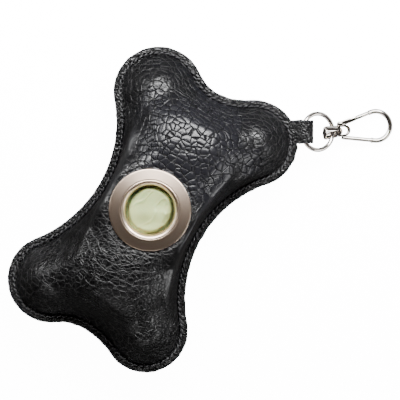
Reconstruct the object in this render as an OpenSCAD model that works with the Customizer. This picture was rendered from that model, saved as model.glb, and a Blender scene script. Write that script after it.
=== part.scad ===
// Waste-bag dispenser: a bone-shaped leather pouch around a roll of bags.
// Two moulded leather panels are sewn together round a flat rim. Bags are
// pulled through a nickel eyelet in the front, the roll is changed through
// a flap in the back, and a tab carries a ring with a swivel snap hook.
// The pouch lies on its back. X runs along the bone, Z points up through the
// eyelet, and the origin is on the resting face under the eyelet's centre.
// All lengths are in millimetres and all angles in degrees.

/* [Bone outline] */
// Half length of the bone at its end notches, towards +X and -X
notch_x = [51.2, 51.9]; // [48:0.1:56]
// Half width of the bone at its waist, towards +Y and -Y
waist_y = [21.9, 22.3]; // [20.5:0.1:25]
// Distance of the four lobe centres from the Y axis, anticlockwise from +X +Y
lobe_x = [40.6, 41.5, 40.8, 41.4]; // [38:0.1:44]
// Distance of the four lobe centres from the X axis, in the same order
lobe_y = [19.4, 19.9, 20.9, 21.7]; // [18:0.1:24]
// Radii of the four lobes, in the same order
lobe_r = [17.2, 16.6, 16.1, 16.5]; // [15:0.1:18]

/* [Leather] */
// Thickness of the panel leather
leather_t = 1.4; // [1:0.1:1.8]
// Width of the flat sewn rim
rim_w = 3.2; // [2.5:0.1:4]
// Height of the seam plane over the resting face
seam_z = 11; // [10:0.5:13]
// Height of the flat seat under the eyelet's flange
seat_z = 35.8; // [35:0.1:38]
// Height of the front panel over the rim at the lobe centres
lobe_crown = 13; // [8:0.5:16]
// Width over which the front panel rounds down into the seam
shoulder_w = 3.4; // [2.5:0.1:4]
// Width of the back panel's sloping side
back_side_w = 6.5; // [5:0.1:7]

/* [Refill flap] */
// Length of the flap along the bone
flap_l = 66; // [60:1:70]
// Distance of the flap's two long edges from the X axis
flap_half_w = 12.2; // [11:0.1:13]
// Length of the opening that the flap covers
refill_l = 58; // [50:1:60]
// Width of the opening that the flap covers
refill_w = 16; // [14:1:18]
// Thickness of each touch fastener strip
strip_t = 0.5; // [0.4:0.1:0.7]

/* [Eyelet] */
// Outer diameter of the eyelet's flange
eyelet_d = 31; // [28:0.5:31]
// Bore of the eyelet
eyelet_bore_d = 18; // [16:0.5:18.5]
// Height of the flange over its leather seat
eyelet_h = 1.0; // [0.8:0.1:1.4]

/* [Roll of bags] */
// Outer diameter of a full roll
roll_d = 28; // [24:0.5:28.5]
// Length of the roll
roll_l = 58; // [54:1:60]
// Outer diameter of the roll's cardboard core
core_d = 15; // [12:0.5:18]

/* [Tab and ring] */
// Place of the tab's root on the rim
tab_root = [53.9, -34.2]; // [-60:0.1:60]
// Direction in which the tab leaves the rim
tab_angle = -60.5; // [-70:0.5:-50]
// Width of the tab
tab_w = 8.7; // [7:0.1:10]
// Length of the tab outside the rim
tab_l = 5.6; // [5.4:0.1:7]
// Free height inside the tab's loop
tab_gap = 3.1; // [3:0.1:3.6]
// Mean diameter of the ring
ring_d = 13.8; // [13:0.1:15]
// Diameter of the ring's wire
ring_wire_d = 1.6; // [1.4:0.1:1.8]
// Angle by which the ring hangs down from the tab
ring_tilt = 32; // [28:1:36]

/* [Swivel snap hook] */
// Direction of the hook, seen from above
hook_angle = -52.4; // [-60:0.1:-45]
// Angle by which the hook leans down to the table
hook_pitch = 8.2; // [6:0.1:8.4]
// Angle by which the swivel eye is turned about its stem
eye_roll = 62; // [60:1:70]
// Diameter of the hook's wire
hook_wire_d = 1.8; // [1.6:0.1:2]
// Mean radius of the hook's bow
bow_r = 5.6; // [5:0.1:6.2]
// Distance from the hook's base to the centre of its bow
bow_x = 14.8; // [14:0.1:16]
// Thickness of the gate
gate_t = 1.5; // [1.3:0.1:1.6]
// Length of the gate from its pin to its tip
gate_l = 11.6; // [11:0.1:11.8]

/* [Hidden] */
$fn = 64;

leather = [0.07, 0.07, 0.075];
nickel = [0.74, 0.71, 0.68];
chrome = [0.82, 0.82, 0.84];
film = [0.83, 0.87, 0.72];
card = [0.72, 0.60, 0.45];
fabric = [0.03, 0.03, 0.03];

// Arc steps per quarter of the outline: notch, lobe and waist
notch_steps = 5;
lobe_steps = 14;
waist_steps = 7;
// Rings of the front panel between the eyelet's seat and the seam
front_steps = 11;
// Exponent that blends the shaft of the bone into its lobes
blend_power = 5;
// Half width of the shaft's dome, and length over which it falls past the roll
shaft_half_w = 24;
shaft_end_l = 20;
// Start and height of the ridge into a lobe, and its half widths there and at the lobe
limb_from = [24, 4];
limb_from_h = 13.5;
limb_half_w = [21, 15.5];
// Width of the leather that eases down from the eyelet's seat
seat_ease = 8.5;

rim_top_z = seam_z + leather_t;
rim_low_z = seam_z - leather_t;
flap_gap = 2 * strip_t + 0.2;
back_z = leather_t + flap_gap;
flap_y = [-flap_half_w, flap_half_w];
roll_z = back_z + leather_t + 0.5 + roll_d / 2;
seat_r = eyelet_d / 2;
barrel_r = eyelet_bore_d / 2 + 0.45;
front_hole_r = barrel_r + 0.15;
front_crown = seat_z - rim_top_z;
// Distance that the ring's pivot lies inside the ring's mean circle
ring_pivot_in = 0.83;
ring_r = ring_d / 2;

// ---- Outline of the bone: two notches, two waists and four lobes as arcs ----

function unit(v) = v / norm(v);
function flip(list) = [for (i = [len(list) - 1:-1:0]) list[i]];
function arc(c, r, from, to, steps, side) =
    [for (i = [0:steps])
        let (a = from + (to - from) * i / steps, u = [cos(a), sin(a)])
        [c + r * u, side * u]];

// Radius of the hollow arc with its centre on an axis that starts at distance
// reach from the origin and touches a lobe lying at [along, across] of radius r
function hollow_r(along, across, r, reach) =
    let (rise = reach - along)
    (across * across + rise * rise - r * r) / (2 * (r - rise));

// Points and outward normals of one quarter, from its notch to its waist
function quarter(q) =
    let (
        c = [lobe_x[q], lobe_y[q]],
        r = lobe_r[q],
        nx = notch_x[q == 0 || q == 3 ? 0 : 1],
        wy = waist_y[q < 2 ? 0 : 1],
        notch_r = hollow_r(c.x, c.y, r, nx),
        waist_r = hollow_r(c.y, c.x, r, wy),
        notch_c = [nx + notch_r, 0],
        waist_c = [0, wy + waist_r],
        notch_a = atan2(c.y, c.x - notch_c.x),
        waist_a = atan2(waist_c.y - c.y, -c.x),
        points = concat(
            arc(notch_c, notch_r, 180, notch_a, notch_steps, -1),
            arc(c, r, notch_a - 180, waist_a, lobe_steps, 1),
            arc(waist_c, waist_r, waist_a + 180, 270, waist_steps, -1)
        ),
        last_notch = notch_steps,
        last_lobe = notch_steps + lobe_steps + 1
    )
    [for (i = [0:len(points) - 1]) if (i != last_notch && i != last_lobe) points[i]];

function place(points, sx, sy) =
    [for (p = points) [[p[0].x * sx, p[0].y * sy], [p[1].x * sx, p[1].y * sy]]];
function open_end(list) = [for (i = [0:len(list) - 2]) list[i]];

outline = concat(
    open_end(place(quarter(0), 1, 1)),
    open_end(flip(place(quarter(1), -1, 1))),
    open_end(place(quarter(2), -1, -1)),
    open_end(flip(place(quarter(3), 1, -1)))
);
count = len(outline);
function rim_point(j, inset) = outline[j][0] - inset * outline[j][1];

// ---- Shells: a skin of rings, closed by a second skin inside it ----

// Closed solid between rings of equal length, the last joined to the first
module ring_solid(rings) {
    n = len(rings);
    polyhedron(
        points = [for (ring = rings, p = ring) p],
        faces = [
            for (i = [0:n - 1], j = [0:count - 1])
                let (
                    a = i * count + j,
                    b = i * count + (j + 1) % count,
                    c = ((i + 1) % n) * count + (j + 1) % count,
                    d = ((i + 1) % n) * count + j
                )
                each [[a, b, c], [a, c, d]]
        ],
        convexity = 8
    );
}

function smooth(t) = let (s = min(1, max(0, t))) s * s * (3 - 2 * s);
function quarter_round(t) = let (s = 1 - min(1, max(0, t))) sqrt(1 - s * s);
function mix(a, b, t) = a + (b - a) * t;
function dome(v) = sqrt(max(0, 1 - v));

// Height that the roll gives to the shaft of the bone
function shaft_height(p) =
    let (over = max(0, abs(p.x) - roll_l / 2 + 1) / shaft_end_l, side = p.y / shaft_half_w)
    front_crown * dome(over * over + side * side);

// Height of the ridge that runs from the shaft into lobe q
function limb_height(p, q) =
    let (
        sx = q == 0 || q == 3 ? 1 : -1,
        sy = q < 2 ? 1 : -1,
        from = [sx * limb_from.x, sy * limb_from.y],
        to = [sx * lobe_x[q], sy * lobe_y[q]],
        run = to - from,
        t = min(1, max(0, (p - from) * run / (run * run))),
        off = norm(p - from - t * run) / mix(limb_half_w[0], limb_half_w[1], t)
    )
    mix(limb_from_h, lobe_crown, t) * dome(off * off);

function body_height(p) =
    let (
        parts = concat([shaft_height(p)], [for (q = [0:3]) limb_height(p, q)]),
        powers = [for (h = parts) pow(h, blend_power)],
        sum = powers * [for (h = parts) 1]
    )
    pow(sum, 1 / blend_power);

// Distance of p from the segment between a and b
function off_segment(p, a, b) =
    let (run = b - a, t = min(1, max(0, (p - a) * run / (run * run))))
    norm(p - a - t * run);

function off_curve(p, curve) =
    min([for (j = [0:count - 1]) off_segment(p, curve[j], curve[(j + 1) % count])]);

// Height over the rim at p, at distance depth from the seam
function skin_height(p, depth) =
    let (seat = smooth((seat_r + seat_ease - norm(p)) / seat_ease))
    mix(body_height(p), front_crown, seat) * quarter_round(depth / shoulder_w);

// One ring of the front skin, at fraction s of the way from the eyelet's seat
// to the seam, where the skin comes down to foot_z
function front_ring(s, seam, foot_z) =
    [for (foot = seam)
        let (p = mix(seat_r * unit(foot), foot, s))
        [p.x, p.y, foot_z + skin_height(p, off_curve(p, seam))]];

function seat_ring(r, z) =
    [for (j = [0:count - 1]) let (p = r * unit(outline[j][0])) [p.x, p.y, z]];
function flat_ring(inset, z) =
    [for (j = [0:count - 1]) let (p = rim_point(j, inset)) [p.x, p.y, z]];
// Steps that crowd together towards the seam
function front_step(k) = 1 - pow(1 - k / front_steps, 1.6);

// Rounded section of the sewn rim: inset from the edge, and rise over the rim
rim_edge = [[rim_w - 0.8, 0], [rim_w / 2, 0.12], [0.6, 0], [0.15, -0.25], [0, -0.7]];

module front_panel() {
    seam = [for (j = [0:count - 1]) rim_point(j, rim_w)];
    inner_seam = [for (j = [0:count - 1]) rim_point(j, rim_w + leather_t + 0.1)];
    outer = concat(
        [seat_ring(front_hole_r, seat_z), seat_ring(seat_r - 2.5, seat_z)],
        [for (k = [0:front_steps]) front_ring(front_step(k), seam, rim_top_z)],
        [for (edge = rim_edge) flat_ring(edge[0], rim_top_z + edge[1])]
    );
    inner = concat(
        [flat_ring(0, seam_z)],
        [for (k = [front_steps:-1:0]) front_ring(front_step(k), inner_seam, seam_z)],
        [seat_ring(seat_r - 2.5, seat_z - leather_t),
         seat_ring(front_hole_r, seat_z - leather_t)]
    );
    color(leather) ring_solid(flip(concat(outer, inner)));
}

// Edge of the refill opening, a rounded rectangle that every ray meets once
function refill_ring(z) =
    [for (j = [0:count - 1])
        let (
            u = unit(outline[j][0]),
            sharp = 8,
            ex = pow(abs(u.x) / (refill_l / 2), sharp),
            ey = pow(abs(u.y) / (refill_w / 2), sharp),
            p = u * pow(ex + ey, -1 / sharp)
        )
        [p.x, p.y, z]];

module back_panel() {
    inner_seam = rim_w + 1;
    outer = [
        refill_ring(back_z),
        flat_ring(rim_w + back_side_w, back_z),
        flat_ring(rim_w + back_side_w * 0.75, mix(back_z, rim_low_z, 0.2)),
        flat_ring(rim_w + back_side_w * 0.3, mix(back_z, rim_low_z, 0.7)),
        flat_ring(rim_w, rim_low_z),
        each [for (edge = rim_edge) flat_ring(edge[0], rim_low_z - edge[1])]
    ];
    inner_z = back_z + leather_t;
    inner = [
        flat_ring(0, seam_z),
        flat_ring(inner_seam, seam_z),
        flat_ring(inner_seam + back_side_w * 0.3, mix(inner_z, seam_z, 0.7)),
        flat_ring(inner_seam + back_side_w * 0.75, mix(inner_z, seam_z, 0.2)),
        flat_ring(inner_seam + back_side_w, inner_z),
        refill_ring(inner_z)
    ];
    color(leather) ring_solid(concat(outer, inner));
}

// ---- Refill flap with its touch fastener ----

module rounded_plate(l, y, r) {
    for (sx = [-1, 1], cy = [y[0] + r, y[1] - r])
        translate([sx * (l / 2 - r), cy]) circle(r);
    translate([-l / 2, y[0] + r]) square([l, y[1] - y[0] - 2 * r]);
    translate([-l / 2 + r, y[0]]) square([l - 2 * r, y[1] - y[0]]);
}

// Cross-section of the flap: flat on the table, raised and skived at its root
module flap_section() {
    root = flap_y[1];
    top = back_z - 0.05;
    polygon([
        [flap_y[0], 0], [root - 5.2, 0], [root - 3.2, top - leather_t],
        [root - 1.4, top - leather_t], [root, top - 0.1], [root, top],
        [root - 3.8, top], [root - 5.8, leather_t], [flap_y[0], leather_t]
    ]);
}

module back_flap() {
    color(leather)
    intersection() {
        rotate([90, 0, 90])
            translate([0, 0, -flap_l / 2])
            linear_extrude(flap_l) flap_section();
        linear_extrude(back_z) rounded_plate(flap_l, flap_y, 4);
    }
}

strip_l = flap_l - 18;
strip_y = [flap_y[0] + 0.7, -refill_w / 2 - 0.3];

module strip(z) {
    translate([0, 0, z]) linear_extrude(strip_t) rounded_plate(strip_l, strip_y, 0.8);
}

// The stiff hooks are on the flap, the soft loops on the pouch
module hook_strip() {
    color(fabric) strip(leather_t);
}

module loop_strip() {
    color(fabric) strip(back_z - strip_t);
}

// ---- Eyelet: a flanged barrel, clinched over a washer inside the pouch ----

washer_t = 0.5;
clinch_z = seat_z - leather_t - washer_t - 0.35;

module eyelet_flange() {
    bore_r = eyelet_bore_d / 2;
    foot_r = 0.3;
    edge_t = 0.2;
    domed_w = 4.2;
    funnel_w = 1.7;
    color(nickel)
    rotate_extrude($fn = 96)
    difference() {
        union() {
            // Flange that is domed to a thin edge, with a round funnel into the bore
            polygon([
                [bore_r, seat_z], [seat_r, seat_z],
                for (a = [0:10:90])
                    [seat_r - domed_w * (1 - cos(a)),
                     seat_z + edge_t + (eyelet_h - edge_t) * sin(a)],
                for (a = [90:-15:15])
                    [bore_r + funnel_w * (1 - cos(a)), seat_z + eyelet_h * sin(a)]
            ]);
            // Barrel and the foot that is clinched outwards
            translate([bore_r, clinch_z]) square([barrel_r - bore_r, seat_z - clinch_z]);
            translate([barrel_r, clinch_z + foot_r]) circle(foot_r, $fn = 32);
        }
        translate([0, clinch_z - 1]) square([bore_r, seat_z]);
    }
}

module eyelet_washer() {
    color(nickel)
    translate([0, 0, seat_z - leather_t - washer_t])
    difference() {
        cylinder(r = barrel_r + 3.4, h = washer_t, $fn = 96);
        translate([0, 0, -1]) cylinder(r = barrel_r + 0.1, h = washer_t + 2, $fn = 96);
        // Sunk seat for the clinched foot
        translate([0, 0, -0.01]) cylinder(r = barrel_r + 0.6, h = 0.25, $fn = 96);
    }
}

// ---- Roll of bags ----

module along_roll() {
    translate([-roll_l / 2, 0, roll_z]) rotate([0, 90, 0]) children();
}

module roll_core() {
    wall = 0.9;
    color(card)
    along_roll() difference() {
        cylinder(d = core_d, h = roll_l);
        translate([0, 0, -1]) cylinder(d = core_d - 2 * wall, h = roll_l + 2);
    }
}

module bag_roll() {
    edge = 0.6;
    inset = 0.8;
    color(film)
    along_roll() rotate_extrude($fn = 96)
        polygon([
            [core_d / 2, inset], [roll_d / 2 - edge, inset], [roll_d / 2, inset + edge],
            [roll_d / 2, roll_l - inset - edge], [roll_d / 2 - edge, roll_l - inset],
            [core_d / 2, roll_l - inset]
        ]);
}

// ---- Tab and ring ----

module at_tab() {
    translate([tab_root.x, tab_root.y, seam_z]) rotate([0, 0, tab_angle]) children();
}

tab_t = 1.1;
tab_loop_r = tab_gap / 2 + tab_t;
// The ring turns about this line across the tab
ring_pivot = [2.1, -0.4];

// Solid across the tab, from its section with X along the tab
module across_tab() {
    at_tab() translate([0, ring_pivot.y + tab_w / 2, 0]) rotate([90, 0, 0])
        linear_extrude(tab_w) children();
}

module tab_section() {
    fold_x = tab_l - tab_loop_r;
    slot_from = 0.3;
    difference() {
        union() {
            translate([fold_x, 0]) circle(tab_loop_r);
            // Legs, drawn together towards the rim that they are sewn into
            polygon([
                [fold_x, -tab_loop_r], [fold_x, tab_loop_r], [1.2, tab_loop_r - 0.1],
                [-1.2, leather_t], [-4, leather_t],
                [-4, -leather_t], [-1.2, -leather_t], [1.2, 0.1 - tab_loop_r]
            ]);
        }
        translate([fold_x, 0]) circle(tab_gap / 2);
        translate([slot_from, -tab_gap / 2]) square([fold_x - slot_from, tab_gap]);
    }
}

module tab_loop() {
    tongue_t = 0.8;
    color(leather) {
        difference() {
            across_tab() tab_section();
            translate([0, 0, rim_low_z - 1]) linear_extrude(2 * leather_t + 2)
                polygon([for (p = outline) p[0]]);
        }
        // Tongue that is squeezed between the two panels
        across_tab() translate([-4, -tongue_t / 2]) square([4.2, tongue_t]);
    }
}

// Frame in the plane of the ring, with its origin on the ring's pivot
module at_ring() {
    at_tab() translate([ring_pivot.x, ring_pivot.y, 0]) rotate([0, ring_tilt, 0]) children();
}

module o_ring() {
    color(chrome)
    at_ring() translate([ring_r - ring_pivot_in, 0, 0])
        rotate_extrude($fn = 96) translate([ring_r, 0]) circle(d = ring_wire_d, $fn = 32);
}

// ---- Swivel eye and snap hook, drawn along X from the hook's base ----

// Distance from the ring's wire to the hook's base
eye_seat = 2;
// Distance from the ring's pivot to the middle of its wire on the far side
ring_reach = 2 * ring_r - ring_pivot_in;

// The hook's axis runs through the wire on the far side of the ring
module at_hook() {
    at_ring() translate([ring_reach, 0, 0]) rotate([0, -ring_tilt, 0])
        rotate([0, 0, hook_angle - tab_angle]) rotate([0, hook_pitch, 0])
        translate([eye_seat, 0, 0]) children();
}

stem_r = 0.95;
base_l = 4.7;
base_half_w = 2.2;
base_depth = 3;
base_wall = 0.9;
window_half_w = 1.4;

module swivel_eye() {
    eye_l = 5.7;
    eye_half_w = 3.2;
    root_half_w = 2.6;
    eye_depth = 2.6;
    band = 0.85;
    corner = 1.3;
    neck = 0.75;
    // Outline of the eye, grown or shrunk by the band's thickness
    module eye_outline(grow, root_x) {
        hull() {
            for (side = [-1, 1])
                translate([-eye_l + corner, side * (eye_half_w - corner)])
                    circle(corner + grow, $fn = 32);
            translate([root_x - 0.3, -root_half_w - grow])
                square([0.3, 2 * (root_half_w + grow)]);
        }
    }
    color(chrome)
    at_hook() rotate([eye_roll, 0, 0]) {
        translate([0, 0, -eye_depth / 2])
        linear_extrude(eye_depth)
        difference() {
            eye_outline(0, -0.1);
            eye_outline(-band, -neck);
        }
        // Stem through the hook's base, with its head spread inside the window
        rotate([0, 90, 0]) {
            translate([0, 0, -0.5]) cylinder(r = stem_r, h = base_wall + 0.7, $fn = 48);
            translate([0, 0, base_wall + 0.12]) cylinder(r1 = 1.25, r2 = 0.8, h = 0.75, $fn = 48);
        }
    }
}

// The gate's pin, and the line of arm and gate, which both touch the bow
pin_at = [1.3, 2.55];
pin_r = 0.5;
ear_r = 1.15;
arm_reach = norm([bow_x - pin_at.x, pin_at.y]);
arm_angle = asin(bow_r / arm_reach) - atan2(pin_at.y, bow_x - pin_at.x);
arm_l = sqrt(arm_reach * arm_reach - bow_r * bow_r);

module along_arm(side) {
    translate([pin_at.x, side * pin_at.y, 0]) rotate([0, 90, side * arm_angle]) children();
}

module hook_body() {
    nose_l = arm_l - gate_l - 0.25;
    round_x = base_l - base_half_w;
    arm_lug_r = hook_wire_d / 2;
    color(chrome)
    at_hook() {
        difference() {
            union() {
                // Base with a round end, and the ear that holds the gate's pin
                translate([0, -base_half_w, -base_depth / 2])
                    cube([round_x, 2 * base_half_w, base_depth]);
                translate([round_x, 0, -base_depth / 2])
                    cylinder(r = base_half_w, h = base_depth);
                translate([pin_at.x, pin_at.y, -base_depth / 2])
                    cylinder(r = ear_r, h = base_depth);
            }
            // Window for the head of the swivel stem
            translate([base_wall, -window_half_w, -base_depth])
                cube([round_x - base_wall, 2 * window_half_w, 2 * base_depth]);
            translate([round_x, 0, -base_depth])
                cylinder(r = window_half_w, h = 2 * base_depth);
            // Bore for the stem, bore for the pin and a slot for the spring
            translate([-1, 0, 0]) rotate([0, 90, 0])
                cylinder(r = stem_r + 0.06, h = base_wall + 2, $fn = 48);
            translate([pin_at.x, pin_at.y, -base_depth])
                cylinder(r = pin_r, h = 2 * base_depth, $fn = 32);
            translate([pin_at.x, pin_at.y, -0.75]) cylinder(r = ear_r + 0.1, h = 1.5);
        }
        // Fixed arm, with the collar where it thickens into the bow
        translate([pin_at.x, -pin_at.y, -arm_lug_r])
            cylinder(r = arm_lug_r, h = 2 * arm_lug_r);
        along_arm(-1) {
            cylinder(d = hook_wire_d - 0.3, h = arm_l, $fn = 32);
            translate([0, 0, gate_l]) cylinder(d = hook_wire_d + 0.25, h = 0.5, $fn = 32);
            translate([0, 0, gate_l])
                cylinder(d = hook_wire_d + 0.1, h = arm_l - gate_l + 0.2, $fn = 32);
        }
        // Bow, and the nose that the gate closes against
        translate([bow_x, 0, 0]) rotate([0, 0, -90 - arm_angle])
            rotate_extrude(angle = 180 + 2 * arm_angle, $fn = 96)
            translate([bow_r, 0]) circle(d = hook_wire_d, $fn = 32);
        along_arm(1) translate([0, 0, arm_l - nose_l])
            cylinder(d = hook_wire_d + 0.1, h = nose_l + 0.2, $fn = 32);
    }
}

cheek_t = 0.5;
cheek_z = base_depth / 2 + 0.1;
web_from = 5.3;
web_l = 0.9;

module gate() {
    half = gate_t / 2;
    color(chrome)
    at_hook() along_arm(1) rotate([0, -90, 0]) {
        difference() {
            union() {
                // Two cheeks beside the base, joined by a web ahead of it
                for (z = [-cheek_z - cheek_t, cheek_z]) translate([0, 0, z]) {
                    cylinder(r = half + 0.15, h = cheek_t, $fn = 32);
                    translate([0, -half, 0]) cube([web_from + web_l, gate_t, cheek_t]);
                }
                translate([web_from, -half, -cheek_z - cheek_t])
                    cube([web_l, gate_t, 2 * (cheek_z + cheek_t)]);
            }
            translate([0, 0, -3]) cylinder(r = pin_r + 0.05, h = 6, $fn = 32);
        }
        translate([web_from + 0.2, 0, 0]) rotate([0, 90, 0])
            cylinder(d = gate_t, h = gate_l - web_from - 0.2, $fn = 32);
    }
}

module gate_pin() {
    head_t = 0.25;
    length = 2 * (cheek_z + cheek_t + 0.05);
    color(chrome)
    at_hook() translate([pin_at.x, pin_at.y, 0]) {
        cylinder(r = pin_r, h = length, center = true, $fn = 32);
        for (side = [0, 1]) mirror([0, 0, side]) translate([0, 0, length / 2])
            cylinder(r1 = 0.8, r2 = 0.5, h = head_t, $fn = 32);
    }
}

// Closed tube of radius r along a path, with sides flats
module tube(path, r, sides) {
    n = len(path);
    function heading(i) = unit(path[min(i + 1, n - 1)] - path[max(i - 1, 0)]);
    points = [
        for (i = [0:n - 1])
            let (t = heading(i), u = unit(cross(t, [t.z, 0, 1 - t.x])), v = cross(t, u))
            for (k = [0:sides - 1])
                path[i] + r * (cos(360 * k / sides) * u + sin(360 * k / sides) * v)
    ];
    faces = concat(
        [[for (k = [sides - 1:-1:0]) k]],
        [for (i = [0:n - 2], k = [0:sides - 1])
            let (a = i * sides + k, b = i * sides + (k + 1) % sides)
            each [[a, b, b + sides], [a, b + sides, a + sides]]],
        [[for (k = [0:sides - 1]) (n - 1) * sides + k]]
    );
    polyhedron(points = points, faces = faces);
}

module gate_spring() {
    wire_r = 0.15;
    coil_r = pin_r + wire_r + 0.1;
    turns = 2.5;
    pitch = 0.42;
    steps = 30;
    turn_a = 360 * turns;
    coil = [
        for (i = [0:steps])
            let (f = i / steps, a = 90 + arm_angle + turn_a * (1 - f))
            [coil_r * cos(a), coil_r * sin(a), pitch * turns * (f - 0.5)]
    ];
    tip = coil[steps];
    along = [cos(arm_angle), sin(arm_angle), 0];
    color(chrome)
    at_hook() translate([pin_at.x, pin_at.y, 0])
        tube(concat(coil, [tip + 2 * along, tip + (web_from - 0.4) * along]), wire_r, 6);
}

front_panel();
back_panel();
back_flap();
hook_strip();
loop_strip();
eyelet_flange();
eyelet_washer();
roll_core();
bag_roll();
tab_loop();
o_ring();
swivel_eye();
hook_body();
gate();
gate_pin();
gate_spring();
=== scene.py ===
"""Dresses the packed leather pouch for waste bags: skins, stitches, fittings and stage."""

import math

import bpy
import numpy as np
from mathutils import Matrix, Vector, kdtree


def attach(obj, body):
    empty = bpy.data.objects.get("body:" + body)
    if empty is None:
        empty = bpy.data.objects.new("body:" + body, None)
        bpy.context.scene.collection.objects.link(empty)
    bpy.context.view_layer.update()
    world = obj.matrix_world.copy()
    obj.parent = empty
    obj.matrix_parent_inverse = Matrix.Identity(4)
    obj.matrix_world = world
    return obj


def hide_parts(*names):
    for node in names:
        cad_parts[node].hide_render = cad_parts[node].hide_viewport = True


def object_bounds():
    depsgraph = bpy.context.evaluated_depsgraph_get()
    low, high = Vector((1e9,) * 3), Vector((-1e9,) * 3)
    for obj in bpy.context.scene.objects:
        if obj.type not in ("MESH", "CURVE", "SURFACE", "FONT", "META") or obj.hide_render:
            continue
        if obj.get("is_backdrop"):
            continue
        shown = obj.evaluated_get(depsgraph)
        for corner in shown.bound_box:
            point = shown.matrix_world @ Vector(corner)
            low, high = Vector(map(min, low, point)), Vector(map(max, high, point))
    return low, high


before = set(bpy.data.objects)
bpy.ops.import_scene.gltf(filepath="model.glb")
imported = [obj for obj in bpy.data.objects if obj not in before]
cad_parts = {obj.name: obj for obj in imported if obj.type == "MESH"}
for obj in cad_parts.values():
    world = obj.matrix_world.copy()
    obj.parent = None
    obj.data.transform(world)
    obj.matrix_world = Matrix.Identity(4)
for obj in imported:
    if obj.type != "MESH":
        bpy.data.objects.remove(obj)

bl_info = {
    "name": "Leather bag pouch",
    "version": (1, 0, 0),
    "blender": (4, 5, 0),
    "location": "3D View > Sidebar > Pouch",
    "description": "Builds the leather skins, stitches, fittings and stage of a bag pouch",
    "category": "Object",
}

MM = 0.001

# Sizes of the solids, in millimetres, as the part's source has them. Notches lie on +X and -X,
# waists on +Y and -Y, and the lobes go round by quarters from +X +Y.
NOTCH_X = (51.2, 51.9)
WAIST_Y = (21.9, 22.3)
LOBE = ((40.6, 19.4, 17.2), (41.5, 19.9, 16.6), (40.8, 20.9, 16.1), (41.4, 21.7, 16.5))
QUARTER_WAY = ((1, 1), (-1, 1), (-1, -1), (1, -1))
LEATHER_T = 1.4
RIM_W = 3.2
SEAM_Z = 11.0
SEAT_Z = 35.8
LOBE_CROWN = 13.0
LIMB_FROM = (24, 4)
LIMB_FROM_H = 13.5
SHOULDER_W = 3.4
BACK_SIDE_W = 6.5
FLAP_L = 66.0
FLAP_Y = 12.2
REFILL = (58.0, 16.0)
BACK_Z = 2.6
EYELET_R = 15.5
BORE_R = 9.0
ROLL_Z = 18.5
ROLL_R = 14.0
ROLL_L = 58.0
CORE_R = 7.5
RIM_TOP = SEAM_Z + LEATHER_T
RIM_LOW = SEAM_Z - LEATHER_T
CROWN = SEAT_Z - RIM_TOP
TAB_ROOT = (53.9, -34.2)
TAB_ANGLE = math.radians(-60.5)
TAB_W = 8.7
TAB_L = 5.6
TAB_GAP = 3.1
TAB_T = 1.1
RING_R = 6.9
RING_WIRE_R = 0.8
RING_PIVOT = (2.1, -0.4)
RING_INSET = 0.83  # From the wire's middle line in to the line that the ring swings about
RING_TILT = math.radians(32)
RING_REACH = 2 * RING_R - RING_INSET
HOOK_ANGLE = math.radians(-52.4)
HOOK_PITCH = math.radians(8.2)
EYE_SEAT = 2.0
EYE_ROLL = math.radians(62)
HOOK_WIRE_R = 0.9
BOW_R = 5.6
BOW_X = 14.8
PIN_AT = (1.3, 2.55)
GATE_L = 11.6
GATE_R = 0.75
ARM_REACH = math.hypot(BOW_X - PIN_AT[0], PIN_AT[1])
ARM_ANGLE = math.asin(BOW_R / ARM_REACH) - math.atan2(PIN_AT[1], BOW_X - PIN_AT[0])
ARM_L = math.sqrt(ARM_REACH**2 - BOW_R**2)

# How the stuffed leather swells: the dome over the roll, then the limb that runs to each lobe
DOME_FLAT = 16
DOME_FALL = 32
DOME_POWER = 2.6
DOME_HALF_W = 24
LIMB_HALF_W = (21, 18)
LIMB_LEAN = 1.6
LIMB_SWELL = 3.0
LOBE_SAG = 1.2  # The soft lobe's crown lies that far under the solid's
JOIN_POWER = 4.5  # The higher, the sharper the valley between two limbs

# How the leather meets the rim: a steep shoulder at the waist, a slack one round the lobes
SLACK_W = 11.5
WAIST_END = (25, 18)  # Where the steep part ends along X, on the -Y side and on the +Y side
WAIST_BLEND_W = 13
SEAT_BLEND_W = 8.5

# ---- Values over an array of points ----

WAVE_COUNT = 14  # Plain waves that add up to one soft swell


def smooth(t):
    """Eased step from 0 to 1."""
    t = np.clip(t, 0, 1)
    return t * t * (3 - 2 * t)


def lerp(a, b, t):
    """From a to b as t goes from 0 to 1."""
    return a + (b - a) * t


def dome(v):
    """Height of a round dome where v, the squared distance from its middle, is 1 at its foot."""
    return np.sqrt(np.maximum(0, 1 - v))


def quarter_round(t):
    """Height of a quarter circle that starts upright at 0 and is level at 1."""
    return np.sqrt(1 - (1 - np.clip(t, 0, 1)) ** 2)


def bell(v):
    """1 at 0, falling to nothing on both sides."""
    return np.exp(-(v**2))


def waves(p, length, seed):
    """Soft random swell of about that wave length, mostly between -1 and 1."""
    rng = np.random.default_rng(seed)
    total = np.zeros(len(p))
    for _ in range(WAVE_COUNT):
        way = rng.normal(size=3)
        way *= 2 * math.pi / (np.linalg.norm(way) * length * rng.uniform(0.7, 1.4))
        total += np.cos(p @ way + rng.uniform(0, 2 * math.pi))
    return total / math.sqrt(WAVE_COUNT)


def at_height(flat, z):
    """Points in space from points in a plane and their height, or heights."""
    return np.column_stack([flat, np.broadcast_to(z, len(flat))])


def unit_of(vectors):
    """The vectors, each made one long."""
    return vectors / np.linalg.norm(vectors, axis=1, keepdims=True)


def resampled(path, count, closed=False):
    """A path as evenly spaced rows, of which the first two numbers are the place."""
    if closed:
        path = np.vstack([path, path[:1]])
    step = np.linalg.norm(np.diff(path[:, :2], axis=0), axis=1)
    run = np.concatenate([[0], np.cumsum(step)])
    at = np.linspace(0, run[-1], count, endpoint=not closed)
    return np.stack([np.interp(at, run, column) for column in path.T], -1)


# ---- Outline of the bone and height of its front ----


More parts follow.
